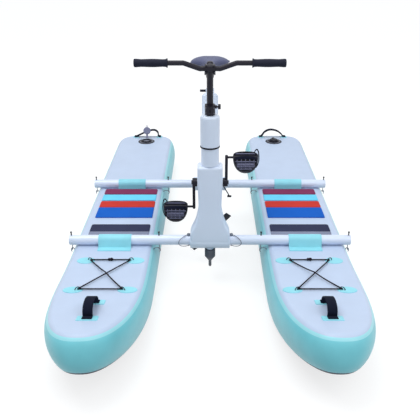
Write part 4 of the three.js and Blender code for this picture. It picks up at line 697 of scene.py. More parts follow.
@dataclass
class Pontoon:
    """One inflated hull with its patches, staples, rings, valve, webbing, straps and pads."""

    side: str
    length: float = 2.690
    width: float = 0.434
    outward: float = 0.0095
    thick: float = HULL_TOP
    inset: float = 0.050
    bow_length: float = 0.6176
    bow_power: float = 2.4
    stern_length: float = 0.190
    stern_power: float = 3.4
    stern_draw: float = 0.7
    nose_rise: float = 0.1221
    nose_length: float = 0.840
    nose_power: float = 1.5
    rake: float = -0.020
    reach: float = -0.020
    tuck: float = 0.23
    lift: float = 0.0543
    bow_steps: int = 36
    mid_steps: int = 22
    stern_steps: int = 14
    levels: int = 28
    deck_from: float = 64.0
    rim_from: float = 50.0
    # Wall angle below which the darker bottom band starts, a higher angle near the bow, and the y ahead of
    # which the bow's angle holds
    dark_band_below: float = -64.0
    bow_dark_band_below: float = -50.0
    bow_dark_band_y: float = -0.75
    patch: float = 0.003
    lace_y: float = -0.604
    anchors: Pairs = ((0.096, -0.604), (-0.096, -0.900), (0.096, -0.900), (-0.096, -0.604))
    anchor_size: tuple[float, float] = (0.086, 0.062)
    anchor_shift: float = 0.0215
    staple: float = 0.0125
    cord: float = 0.003
    bend: float = 0.014
    bend_in: float = 0.00117
    lace_shares: tuple[float, ...] = (0.2, 0.35, 0.45, 0.5, 0.55, 0.65, 0.8)
    hump: float = 0.007
    knot_half: float = 0.013
    knot_rise: float = 0.008
    bow_handle_y: float = -1.100
    stern_handle_y: float = 1.286
    # How far a foot's centre lies from its handle's middle, its width and its length
    bow_foot: tuple[float, float, float] = (0.078, 0.084, 0.044)
    stern_foot: tuple[float, float, float] = (0.087, 0.044, 0.042)
    # From the bow handle's middle to its ends and to its arch's ends, and the arch's height
    bow_loop: tuple[float, float, float] = (0.090, 0.066, 0.050)
    # Place across and height of the stern webbing's points
    stern_arches: dict[str, Pairs] = field(default_factory=lambda: {
        "left": ((-0.099, 0.001), (-0.084, 0.002), (-0.066, 0.010), (-0.030, 0.027), (0.008, 0.043),
                 (0.040, 0.050), (0.063, 0.046), (0.078, 0.030), (0.080, 0.010), (0.086, 0.002),
                 (0.099, 0.001)),
        "right": ((-0.099, 0.001), (-0.086, 0.002), (-0.076, 0.012), (-0.060, 0.034), (-0.032, 0.050),
                  (0.002, 0.052), (0.040, 0.040), (0.068, 0.018), (0.080, 0.003), (0.099, 0.001))})
    strap_width: float = 0.163
    ring_tip: float = 0.224
    ring_wall: float = 0.0195
    valve_y: float = 1.176
    lid_rise: float = 0.0113
    lid_hinge: tuple[float, float] = (1.228, 0.2323)
    lid_open: float = 105.0
    pad_width: float = 0.312
    pad_depth: float = 0.006
    pad_edge: float = 0.0015
    # Each pad's colour, front edge, length and corner radius
    pad_rows: tuple[tuple[str, float, float, float], ...] = (
        ("blue", -0.132, 0.126, 0.003), ("red", -0.002, 0.084, 0.012), ("sky", 0.096, 0.079, 0.003),
        ("maroon", 0.183, 0.077, 0.012))
    tread_front: float = -0.336
    tread_length: float = 0.115
    tread_lip: float = 0.030

    @property
    def centre(self) -> float:
        """Returns the hull's x."""
        return SIDES[self.side] * HULL_X

    @property
    def axis(self) -> float:
        """Returns the x of the skin's own middle."""
        return SIDES[self.side] * (HULL_X + self.outward)

    @property
    def start(self) -> float:
        """Returns the y where the bow's taper starts."""
        return -self.length / 2 + self.bow_length

    def rise(self, y: float) -> float:
        """Returns how far the bow has risen at a place along the hull."""
        start = -self.length / 2 + self.nose_length
        return self.nose_rise * (max(0.0, start - y) / self.nose_length) ** 2

    def ahead(self, y: float) -> float:
        """Returns how far a place lies into the bow, from 0 at its start to 1 at its tip."""
        return min(1.0, max(0.0, (self.start - y) / self.bow_length)) ** self.nose_power

    def outline(self, inset: float) -> list[tuple[float, float]]:
        """Returns half the outline from above, from the bow's tip to the stern.

        Args:
            inset: How far it is drawn in.

        Returns:
            The points.
        """
        half = self.width / 2 - inset
        start, stop = self.start, self.length / 2 - self.stern_length
        spots = []
        for i in range(self.bow_steps + 1):
            turn = math.pi / 2 * (1 - i / self.bow_steps)
            across = max(0.0, math.cos(turn)) ** (2 / self.bow_power)
            ahead = math.sin(turn) ** (2 / self.bow_power)
            spots.append((half * across if i else 0.0, start - (self.bow_length - inset) * ahead))
        for i in range(1, self.mid_steps + 1):
            spots.append((half, start + (stop - start) * i / self.mid_steps))
        for i in range(1, self.stern_steps + 1):
            turn = math.pi / 2 * i / self.stern_steps
            across = max(0.0, math.cos(turn)) ** (2 / self.stern_power)
            back = math.sin(turn) ** (2 / self.stern_power)
            spots.append((half * across if i < self.stern_steps else 0.0,
                          stop + (self.stern_length - inset * self.stern_draw) * back))
        return spots

    def edge_drop(self, x: float, y: float) -> float:
        """Returns how far the skin has rounded down at a place near the deck's edge.

        Args:
            x: The place across the hull.
            y: The place along it.

        Returns:
            The drop, 0 on the flat of the deck.
        """
        share = max(0.0, self.start - y) / (self.bow_length - self.inset)
        taper = max(0.0, 1 - share ** self.bow_power) ** (1 / self.bow_power)
        across = abs(x - SIDES[self.side] * self.outward) - (self.width / 2 - self.inset) * taper
        back = y - (self.length / 2 - self.inset * self.stern_draw)
        past = min(1.0, max(0.0, across, back) / self.inset)
        return self.thick / 2 * (1 - math.sqrt(1 - past * past))

    def skin_point(self, x: float, y: float, turn: float) -> Vector:
        """Returns a wall point, drawn in and lifted under the bow as the photographed nose is.

        Args:
            x: Its place across the hull.
            y: Its place along it.
            turn: The wall's angle there, from straight down to straight up.

        Returns:
            The point.
        """
        ahead = self.ahead(y)
        under = ((1 - math.sin(turn)) / 2) ** self.nose_power
        height = self.thick / 2 * (1 + math.sin(turn)) + self.rise(y) + self.lift * ahead * under
        return Vector((self.axis + x * (1 - self.tuck * ahead * under),
                       y + ahead * (self.reach + self.rake * under), height))

    def on_deck(self, x: float, y: float, up: float = 0.0) -> Vector:
        """Returns a point over the deck, following its rise and its rounded edge.

        Args:
            x: Its place across the hull.
            y: Its place along it.
            up: Its height over the skin.

        Returns:
            The point.
        """
        flat = y
        for _ in range(DECK_ROUNDS):
            flat = y - self.ahead(flat) * self.reach
        return Vector((self.centre + x, y,
                       self.thick + self.rise(flat) - self.edge_drop(x, flat) + up))

    def hull(self) -> None:
        """Builds the skin, with a white deck, teal walls, a pale rim tape and a darker navy band along the
        bottom that reaches higher up the wall near the bow.
        """
        form = Form()
        turns = [math.pi * (level / self.levels - 0.5) for level in range(self.levels + 1)]
        rings: list[Ring] = []
        for turn in turns:
            half = self.outline(self.inset * (1 - math.cos(turn)))
            whole = half + [(-x, y) for x, y in reversed(half[1:-1])]
            rings.append([self.skin_point(x, y, turn) for x, y in whole])

        def tint(level: int, place: int) -> int:
            """Returns the finish of a wall face.

            Args:
                level: The face's level, from the keel up.
                place: Its place round the hull.

            Returns:
                The finish's place in the hull's row of finishes.
            """
            middle = math.degrees((turns[level] + turns[level + 1]) / 2)
            if middle > self.rim_from:
                return 0 if middle > self.deck_from else 2
            # Faces low on the wall take the darker bottom band, which reaches higher up the wall near the bow
            near_bow = rings[0][place].y < self.bow_dark_band_y
            return 3 if middle < (self.bow_dark_band_below if near_bow else self.dark_band_below) else 1

        form.loft(rings, capped=False, tints=tint)
        rows = list(form.mesh.verts)
        loop = len(rings[0])
        for base, finish in ((0, 3), (self.levels * loop, 0)):
            for i in range(loop // 2):
                corners = [rows[base + i], rows[base + i + 1], rows[base + (loop - i - 1) % loop],
                           rows[base + (loop - i) % loop]]
                corners = list(dict.fromkeys(corners))
                if len(corners) > 2:
                    form.mesh.faces.new(corners).material_index = finish
        form.piece(f"hull_{self.side}", (DECK, TEAL, RIM, DARK_BOTTOM), BASE, [f"pontoon_{self.side}"], sharp=60)

    def oval(self, x: float, y: float, name: str) -> None:
        """Glues an oval patch on the deck.

        Args:
            x: Its centre across the hull.
            y: Its centre along it.
            name: Its name.
        """
        wide, deep = (size / 2 for size in self.anchor_size)
        rings: list[Ring] = []
        for share, up in ((1.0, -0.001), (1.0, self.patch * 0.5), (0.95, self.patch), (0.5, self.patch),
                          (0.0, self.patch)):
            turns = [math.tau * i / 40 for i in range(40 if share else 1)]
            rings.append([self.on_deck(x + wide * share * math.cos(turn),
                                       y + deep * share * math.sin(turn), up) for turn in turns])
        Form().loft(rings).piece(f"{name}_{self.side}", STRAP, BASE)

    def foot(self, x: float, y: float, wide: float, long_way: float, name: str) -> None:
        """Glues a rectangular patch on the deck.

        Args:
            x: Its centre across the hull.
            y: Its centre along it.
            wide: Its width.
            long_way: Its length.
            name: Its name.
        """
        rings: list[Ring] = []
        for inset, up in ((0.0, -0.001), (0.0, self.patch * 0.4), (0.0015, self.patch * 0.95)):
            outline = rounded_box(wide - 2 * inset, long_way - 2 * inset, 0.005)
            rings.append([self.on_deck(x + u, y + v, up) for u, v in outline])
        Form().loft(rings).piece(f"{name}_{self.side}", STRAP, BASE)

    def staple_arch(self, x: float, y: float, turn: float) -> list[Vector]:
        """Returns the route of a wire staple.

        Args:
            x: Its place across the hull.
            y: Its place along it.
            turn: The direction that it spans, in radians.

        Returns:
            The points.
        """
        spots = []
        for k in range(11):
            out = self.staple * math.cos(math.pi * k / 10)
            up = self.staple * math.sin(math.pi * k / 10)
            spots.append(self.on_deck(x, y, self.patch)
                         + Vector((out * math.cos(turn), out * math.sin(turn), up)))
        return spots

    def anchors_and_bungee(self) -> None:
        """Builds the four anchors with their wire staples, and the crossed cord with its knot."""
        low = self.patch + REST_GAP + self.cord
        stops = [(0.0, self.lace_y), *self.anchors, (0.0, self.lace_y)]
        places = [self.on_deck(x, y, low) for x, y in stops]
        route = [places[0] + Vector((0.002, 0, 0))]
        staples = Form()
        for i in range(1, len(places) - 1):
            before = (places[i - 1] - places[i]).normalized()
            after = (places[i + 1] - places[i]).normalized()
            inner = (before + after).normalized()
            route += [places[i] + before * self.bend, places[i] + inner * self.bend_in,
                      places[i] + after * self.bend]
            if i in (1, 3):
                hump = self.hump if i == 3 else 0.0
                for share in self.lace_shares:
                    spot = places[i].lerp(places[i + 1], share)
                    flat = self.rise(spot.y) + self.thick + low
                    spot.z = max(spot.z, flat) + hump * max(0.0, 1 - abs(share - 0.5) * 5)
                    route.append(spot)
            x, y = stops[i]
            self.oval(x + math.copysign(self.anchor_shift, x), y, f"anchor_{i}")
            staples.rod(self.staple_arch(x, y, math.atan2(inner.y, inner.x)), WIRE, WIRE_SIDES)
        route.append(places[-1] - Vector((0.002, 0, 0)))
        staples.piece(f"anchor_wires_{self.side}", BLACK, BASE, sharp=60)
        half = self.knot_half
        knot = [(0, -half), (0.0048, -half * 0.9), (0.0068, -half * 0.5), (0.005, -half * 0.12),
                (0.0078, half * 0.1), (0.0075, half * 0.45), (0.0048, half * 0.9), (0, half)]
        form = Form().rod(route, self.cord, 14, 320)
        form.turn(knot, Axis.X, 20, self.on_deck(0, self.lace_y, REST_GAP + self.knot_rise))
        form.piece(f"bungee_cord_{self.side}", CORD, BASE, [f"bungee_{self.side}"], sharp=60)

    def handles(self) -> None:
        """Builds the bow and stern handles of webbing, with their feet."""
        along, bow_wide, bow_deep = self.bow_foot
        across, stern_wide, stern_deep = self.stern_foot
        for way, bow, stern in ((-1, "front", "in"), (1, "back", "out")):
            self.foot(0, self.bow_handle_y + way * along, bow_wide, bow_deep, f"bow_foot_{bow}")
            self.foot(way * across, self.stern_handle_y, stern_wide, stern_deep, f"stern_foot_{stern}")
        low = self.patch + REST_GAP + 0.002
        end, half, height = self.bow_loop
        loop = [(-end, 0.0)]
        for i in range(25):
            turn = math.pi * (1 - i / 24)
            loop.append((half * math.cos(turn), height * math.sin(turn) ** 0.8))
        loop.append((end, 0.0))
        spots = [self.on_deck(0, self.bow_handle_y + y, low + z) for y, z in loop]
        Form().strip(spots, (1, 0, 0), 0.040, 0.004).piece(
            f"bow_webbing_{self.side}", WEB, BASE, [f"bow_handle_{self.side}"], sharp=60)
        spots = [self.on_deck(x, self.stern_handle_y, low + z) for x, z in self.stern_arches[self.side]]
        Form().strip(spots, (0, 1, 0), 0.038, 0.006, 48).piece(
            f"stern_webbing_{self.side}", WEB, BASE, [f"stern_handle_{self.side}"], sharp=60)

    def straps(self) -> None:
        """Builds the two sheet straps that hold the cross tubes, with their flat tails."""
        radius, bend, reach = 0.0271, 0.036, 0.072
        low = HULL_TOP + 0.0018
        fall = TUBE_Z - low
        tangent = math.pi + math.atan2(fall, bend) - math.acos(radius / math.hypot(bend, fall))
        line: list[tuple[float, float]] = [(-reach, low), (-bend - 0.010, low), (-bend, low + 0.0004)]
        for i in range(21):
            turn = tangent - tangent * i / 20
            line.append((radius * math.cos(turn), TUBE_Z + radius * math.sin(turn)))
        line.append((radius, HULL_TOP + 0.001))
        for name, y, way in (("front", FRONT_Y, 1), ("rear", REAR_Y, -1)):
            spots = [Vector((self.centre, y + way * u, z + self.rise(y + way * u))) for u, z in line]
            Form().strip(spots, (1, 0, 0), self.strap_width, 0.003).piece(
                f"{name}_panel_{self.side}", STRAP, BASE, [f"{name}_strap_{self.side}"], sharp=50)

    def rings(self) -> None:
        """Builds the wire rings on the wall that the tubes' hooks hold."""
        form = Form()
        for y in (FRONT_Y, REAR_Y):
            for way in (-1, 1):
                wall = self.axis + way * (self.width / 2 - self.ring_wall)
                tip = self.centre + way * self.ring_tip
                x, reach = (wall + tip) / 2, abs(tip - wall) / 2
                spots = []
                for i in range(17):
                    turn = math.pi * (-0.3 + 1.5 * i / 16)
                    spots.append(Vector((x + way * reach * math.cos(turn), y - 0.0075,
                                         TUBE_Z - 0.0525 + 0.012 * math.sin(turn))))
                form.rod(spots, WIRE, WIRE_SIDES)
        form.piece(f"wall_rings_{self.side}", STEEL, BASE, sharp=60)

    def valve(self) -> None:
        """Builds the valve's flange and collar, its bright core and ring, and its lid."""
        spot = (self.centre, self.valve_y, self.thick)
        Form().turn([(0.026, 0.004), (0.026, 0.0105), (0.031, 0.011), (0.034, 0.0095), (0.034, 0.0035),
                     (0.055, 0.0032), (0.0595, 0.0018), (0.060, 0.0), (0.026, 0.0), (0.026, 0.004)],
                    Axis.Z, 64, spot).piece(f"valve_ring_{self.side}", BLACK, BASE)
        core = Form().turn([(0.0, 0.002), (0.006, 0.002), (0.008, 0.004), (0.012, 0.0015),
                            (0.024, 0.001), (0.0255, 0.003), (0.0255, 0.0005), (0.0, 0.0005)],
                           Axis.Z, 48, (self.centre, self.valve_y, self.thick + 0.0005))
        core.turn([(0.0435, 0.0026), (0.0440, 0.0042), (0.0475, 0.0042), (0.0485, 0.0026),
                   (0.0435, 0.0026)], Axis.Z, 64, spot)
        core.piece(f"valve_core_{self.side}", SILVER, BASE)
        self.lid()

    def lid(self) -> None:
        """Builds the valve's screw lid on its tether, closed on one side and open on the other."""
        x, y, top = self.centre, self.valve_y, self.thick + self.lid_rise
        hinge = Vector((x, *self.lid_hinge))
        form = Form().turn([(0.0, -0.004), (0.0225, -0.004), (0.0235, -0.003), (0.0235, 0.0),
                            (0.0265, 0.0004), (0.0275, 0.002), (0.0275, 0.005), (0.026, 0.007),
                            (0.021, 0.0075), (0.0195, 0.006), (0.013, 0.006), (0.011, 0.0078),
                            (0.0, 0.0085)], Axis.Z, 48, (x, y, top))
        tether = [(x, y + out, top + up) for out, up in ((0.022, 0.0035), (0.036, 0.0035), (0.050, 0.002))]
        form.strip(tether, (1, 0, 0), 0.014, 0.003)
        form.rod([hinge - Vector((0.009, 0, 0)), hinge + Vector((0.009, 0, 0))], 0.003, 12)
        turns = [math.tau * i / 16 for i in range(16)]
        form.rod([(x + 0.006 * math.cos(turn), y - 0.032 + 0.006 * math.sin(turn), top + 0.004)
                  for turn in turns], 0.0018, 10, looped=True)
        is_open = self.side == OPEN_VALVE
        if is_open:
            form.moved(Matrix.Translation(hinge) @ Matrix.Rotation(math.radians(-self.lid_open), 4, "X")
                       @ Matrix.Translation(-hinge))
        body = f"valve_cap_{self.side}"
        form.piece(f"valve_lid_{self.side}", LID if is_open else BLACK, body, [body], sharp=40)

    def pad(self, name: str, finish: Finish, node: str, front: float, length: float, corner: float) -> None:
        """Lays a foam pad on the deck.

        Args:
            name: The pad's name.
            finish: Its finish.
            node: The node that it replaces.
            front: The y of its front edge.
            length: Its length.
            corner: Its corners' radius.
        """
        outline = rounded_box(self.pad_width, length, corner, 8, (self.centre, front + length / 2))
        middle = flat_plane(self.thick + REST_GAP + self.pad_depth / 2)
        Form().plate([outline], self.pad_depth, self.pad_edge, middle, 2).piece(name, finish, BASE, [node])

    def pads(self) -> None:
        """Builds the four coloured pads and the grooved tread pad behind the front tube."""
        side = self.side
        for colour, front, length, corner in self.pad_rows:
            self.pad(f"{colour}_pad_{side}", PADS[colour], f"pad_{colour}_{side}", front, length, corner)
        front, lip = self.tread_front, self.tread_lip
        self.pad(f"tread_top_{side}", TREAD, f"tread_pad_{side}", front + lip, self.tread_length - lip, 0.012)
        half = self.pad_width / 2
        rings: list[Ring] = []
        for x, low in ((-half, 0.0006), (0.002 - half, 0.0), (half - 0.002, 0.0), (half, 0.0006)):
            ring = [(low, 0.0), (lip - 0.0005, 0.0), (lip - 0.0005, 0.0058 - low), (0.012, 0.0052 - low),
                    (low, 0.0012)]
            rings.append([Vector((self.centre + x, front + v, self.thick + REST_GAP + w)) for v, w in ring])
        Form().loft(rings).piece(f"tread_lip_{side}", LIP, BASE, sharp=20)

    def build(self) -> None:
        """Builds the whole hull."""
        self.hull()
        self.anchors_and_bungee()
        self.handles()
        self.straps()
        self.rings()
        self.valve()
        self.pads()


@dataclass
class CrossTubes:
    """The cross tubes with their end caps, hook bolts and lock pins."""

    radius: float = 0.025
    wall: float = 0.0025
    edge: float = 0.0012
    half_span: float = 0.700
    inner: float = 0.030
    bolt_places: tuple[float, ...] = (0.254, 0.690)
    curl: float = 0.0075
    hook_drop: float = 0.025
    pin_x: float = 0.1065
    bail_out: float = 0.048
    bail_ahead: float = 0.034

    def hook(self, hooks: Form, bolts: Form, x: float, y: float) -> None:
        """Adds one hook bolt.

        Args:
            hooks: The form that takes the bright hook.
            bolts: The form that takes the dark head.
            x: The bolt's place across.
            y: The tube's place along.
        """
        bolts.turn([(0, -0.001), (0.003, -0.001), (0.003, 0.015), (0.0048, 0.0152), (0.005, 0.016),
                    (0.005, 0.0192), (0.0042, 0.020), (0, 0.020)],
                   Axis.Z, 20, (x, y, TUBE_Z + self.radius))
        curl, low = self.curl, -self.radius - self.hook_drop
        route = [(0, 0.002 - self.radius), (0, low + curl), (-curl * 0.3, low + curl * 0.3), (-curl, low),
                 (-curl * 1.7, low + curl * 0.3), (-curl * 2, low + curl), (-curl * 2, low + curl * 1.6)]
        hooks.rod([(x, y + b, TUBE_Z + c) for b, c in route], WIRE, WIRE_SIDES, 40)

    def tube(self, name: str, start: float, end: float, y: float, node: str) -> None:
        """Adds a tube along X.

        Args:
            name: The piece's name.
            start: One end's x.
            end: The other end's x.
            y: The tube's place along the hulls.
            node: The node that it replaces.
        """
        low, high = min(start, end), max(start, end)
        radius, edge, bore = self.radius, self.edge, self.radius - self.wall
        profile = [(0, low + edge * 3), (bore, low + edge * 3), (bore, low), (radius - edge, low),
                   (radius, low + edge), (radius, high - edge), (radius - edge, high), (bore, high),
                   (bore, high - edge * 3), (0, high - edge * 3)]
        Form().turn(profile, Axis.X, 64, (0, y, TUBE_Z)).piece(name, TUBE, BASE, [node])

    def lock_pin(self, side: str) -> None:
        """Builds one lock pin: a headed pin and its thin wire bail.

        Args:
            side: The side's name.
        """
        way = SIDES[side]
        x, top = way * self.pin_x, self.radius + REST_GAP
        form = Form().turn([(0, -top - 0.008), (0.003, -top - 0.008), (0.004, -top - 0.006), (0.004, top),
                            (0.0075, top), (0.008, top + 0.001), (0.008, top + 0.008),
                            (0.0066, top + 0.010), (0, top + 0.010)], Axis.Z, 32, (x, FRONT_Y, TUBE_Z))
        high, low = top + 0.005, -top - 0.006
        middle, half = (high + low) / 2, (high - low) / 2
        spots = []
        for i in range(25):
            out, up = math.sin(math.pi * i / 24), math.cos(math.pi * i / 24)
            spots.append((x + way * self.bail_out * out, FRONT_Y - self.bail_ahead * out,
                          TUBE_Z + middle + half * up))
        form.rod(spots, 0.0018, 12)
        form.piece(f"pin_and_bail_{side}", STEEL, BASE, [f"lock_pin_{side}"], sharp=45)

    def build(self) -> None:
        """Builds the tubes, bolts and pins."""
        for side, way in SIDES.items():
            self.tube(f"front_cross_tube_{side}", way * self.inner, way * self.half_span, FRONT_Y,
                      f"front_tube_{side}")
            self.lock_pin(side)
        self.tube("rear_cross_tube", -self.half_span, self.half_span, REAR_Y, "rear_tube")
        hooks, bolts = Form(), Form()
        for y in (FRONT_Y, REAR_Y):
            for way in (-1, 1):
                for place in self.bolt_places:
                    self.hook(hooks, bolts, way * place, y)
        hooks.piece("tube_hooks", STEEL, BASE, sharp=60)
        bolts.piece("bolt_heads", BLACK, BASE)


@dataclass
class Frame:
    """The pillar with its sleeve, the column, the drive housing, the rear strut and the mast."""

    sleeve_radius: float = 0.0415
    sleeve_half: float = 0.0975
    sleeve_bore: float = 0.0253
    sleeve_edge: float = 0.0025
    # Half the pillar's width and the height there
    flank: Pairs = (
        (0.0975, 0.276), (0.0965, 0.292), (0.090, 0.311), (0.080, 0.332), (0.071, 0.353), (0.065, 0.375),
        (0.060, 0.397), (0.0565, 0.420), (0.0552, 0.450), (0.0565, 0.490), (0.0585, 0.530), (0.0595, 0.580),
        (0.0595, 0.635))
    flank_steps: int = 48
    corner: float = 0.010
    edge: float = 0.011
    bore: float = 0.0195
    column_radius: float = 0.0415
    column_span: tuple[float, float] = (0.6453, 0.7333)
    column_edge: float = 0.0015
    seal_radius: float = 0.0465
    seal_span: tuple[float, float] = (0.7336, 0.7406)

    def pillar(self) -> None:
        """Builds the flared casting and the sleeve that it rolls into."""
        spots = flowing([Vector((half, z, 0)) for half, z in self.flank], self.flank_steps, False)
        flank = [(spot.x, spot.y) for spot in spots]
        half, top = flank[-1]
        corner = arc((half - self.corner, top), self.corner, 0, 90, 6)[1:]
        right = [(self.sleeve_half, TUBE_Z), *flank, *corner]
        outline = right + [(-x, z) for x, z in reversed(right)]
        form = Form().plate([outline], 2 * self.sleeve_radius, self.edge, front_plane(FRONT_Y), 4)
        r, h, e, bore = self.sleeve_radius, self.sleeve_half, self.sleeve_edge, self.sleeve_bore
        form.turn([(bore, -h), (r - e, -h), (r - e * 0.3, -h + e * 0.3), (r, -h + e), (r, h - e),
                   (r - e * 0.3, h - e * 0.3), (r - e, h), (bore, h), (bore, -h)], Axis.X, 72,
                  (0, FRONT_Y, TUBE_Z))
        form.piece("pillar_casting", PAINT, BASE, ["front_pillar"], sharp=38)

    def column(self) -> None:
        """Builds the round column and the seal under the steering head."""
        bore, spot = self.bore, (0, FRONT_Y, 0)
        outer, e, (low, high) = self.column_radius, self.column_edge, self.column_span
        Form().turn([(bore, low), (outer - e, low), (outer, low + e), (outer, high - e), (outer - e, high),
                     (bore, high), (bore, low)], Axis.Z, 72, spot).piece(
            "column_tube", PAINT, BASE, ["column"])
        outer, (low, high) = self.seal_radius, self.seal_span
        Form().turn([(bore, low), (outer - 0.0022, low), (outer - 0.0006, low + 0.001),
                     (outer, low + 0.0024), (outer, high - 0.0024), (outer - 0.0006, high - 0.001),
                     (outer - 0.0022, high), (bore, high), (bore, low)], Axis.Z, 72, spot).piece(
            "seal_ring", RUBBER, BASE, ["head_seal"])

    def build(self) -> None:
        """Builds the frame."""
        self.pillar()
        self.column()
        dressed("drive_case", "drive_housing", PAINT, BASE, 0.0015)
        dressed("rear_strut_casting", "rear_strut", PAINT, BASE, 0.0015)
        dressed("seat_mast_tube", "seat_mast", PAINT, BASE, 0.0012)


@dataclass
class Steering:
    """The steering head, stem, bar, grips and rudder."""

    head_radius: float = 0.045
    head_low: float = 0.7409
    head_high: float = 0.8889
    shoulder: float = 0.016
    tube_radius: float = 0.019
    tube_low: float = 0.1998
    stock_bore: float = 0.0135
    stem_bore: float = 0.0155
    stem_depth: float = 0.254
    bar_y: float = -0.485
    bar_z: float = 1.106
    bar_rise: float = 0.024
    bar_half: float = 0.324
    bar_radius: float = 0.011
    bend_inner: float = 0.048
    bend_outer: float = 0.112
    grip_length: float = 0.146
    grip_radius: float = 0.018
    grip_past: float = 0.0043
    # Place along the grip and its radius there, as shares
    grip_shares: Pairs = (
        (0.0, 0.97), (0.004, 1.1), (0.012, 1.12), (0.028, 1.12), (0.034, 0.98), (0.06, 0.92), (0.14, 0.88),
        (0.25, 0.92), (0.38, 0.97), (0.52, 0.97), (0.66, 0.93), (0.78, 0.9), (0.86, 0.95), (0.93, 1.0),
        (0.975, 0.99), (0.993, 0.9), (1.0, 0.72))
    bolt_heights: tuple[float, ...] = (0.9007, 0.9237)

    def head(self) -> None:
        """Builds the white head with its rounded shoulder, over the long steering tube."""
        r, low, high, tube = self.head_radius, self.head_low, self.head_high, self.tube_radius
        foot = (self.stock_bore, self.tube_low)
        profile: list[tuple[float, float]] = [foot, (tube, self.tube_low), (tube, low), (r - 0.001, low),
                                              (r, low + 0.001)]
        profile += arc((r - self.shoulder, high - self.shoulder), self.shoulder, 0, 90, 10)
        profile += [(self.stem_bore, high), (self.stem_bore, high - self.stem_depth),
                    (self.stock_bore, high - self.stem_depth - 0.001), foot]
        Form().turn(profile, Axis.Z, 72, (0, FRONT_Y, 0)).piece(
            "head_casting", PAINT, "steering", ["steering_head"])

    def bar(self) -> None:
        """Builds the bent handlebar and its two shaped grips."""
        half, inner, outer, rise = self.bar_half, self.bend_inner, self.bend_outer, self.bar_rise
        bend = [(half, rise), (outer + (half - outer) / 2, rise), (outer * 1.12, rise), (outer, rise * 0.96),
                (inner, rise * 0.04), (inner * 0.8, 0), (inner * 0.4, 0)]
        route = [(-x, self.bar_y, self.bar_z + z) for x, z in bend]
        route += [(x, self.bar_y, self.bar_z + z) for x, z in reversed(bend)]
        Form().rod(route, self.bar_radius, 28, 120).piece("bar_tube", ALLOY, "stem", ["handlebar"], sharp=60)
        length = self.grip_length
        start = half - length + self.grip_past
        for side, way in SIDES.items():
            profile = [(self.bar_radius + 0.0005, start)]
            profile += [(self.grip_radius * r, start + length * s) for s, r in self.grip_shares]
            profile.append((0, start + length))
            if way < 0:
                profile = [(r, -s) for r, s in profile]
            form = Form().turn(profile, Axis.X, 40, (0, self.bar_y, self.bar_z + rise))
            form.piece(f"grip_sleeve_{side}", GRIP, "stem", [f"grip_{side}"], sharp=40)

    def build(self) -> None:
        """Builds the steering."""
        self.head()
        self.bar()
        dressed("stem_clamp", "stem_collar", ALLOY, "steering", 0.0012)
        dressed("clamp_knob", "star_knob", BLACK, "knob", 0.0008)
        dressed("stem_post", "stem", ALLOY, "stem", 0.0008)
        dressed("rudder_blade", "rudder", GRAPHITE, "rudder", 0.0008)
        bolts = Form()
        for z in self.bolt_heights:
            bolts.turn([(0, -0.0195), (0.0045, -0.0195), (0.0052, -0.0185), (0.0052, 0.0185),
                        (0.0045, 0.0195), (0, 0.0195)], Axis.X, 20, (0, FRONT_Y - 0.0263, z))
        bolts.piece("clamp_bolts", STEEL, "steering")


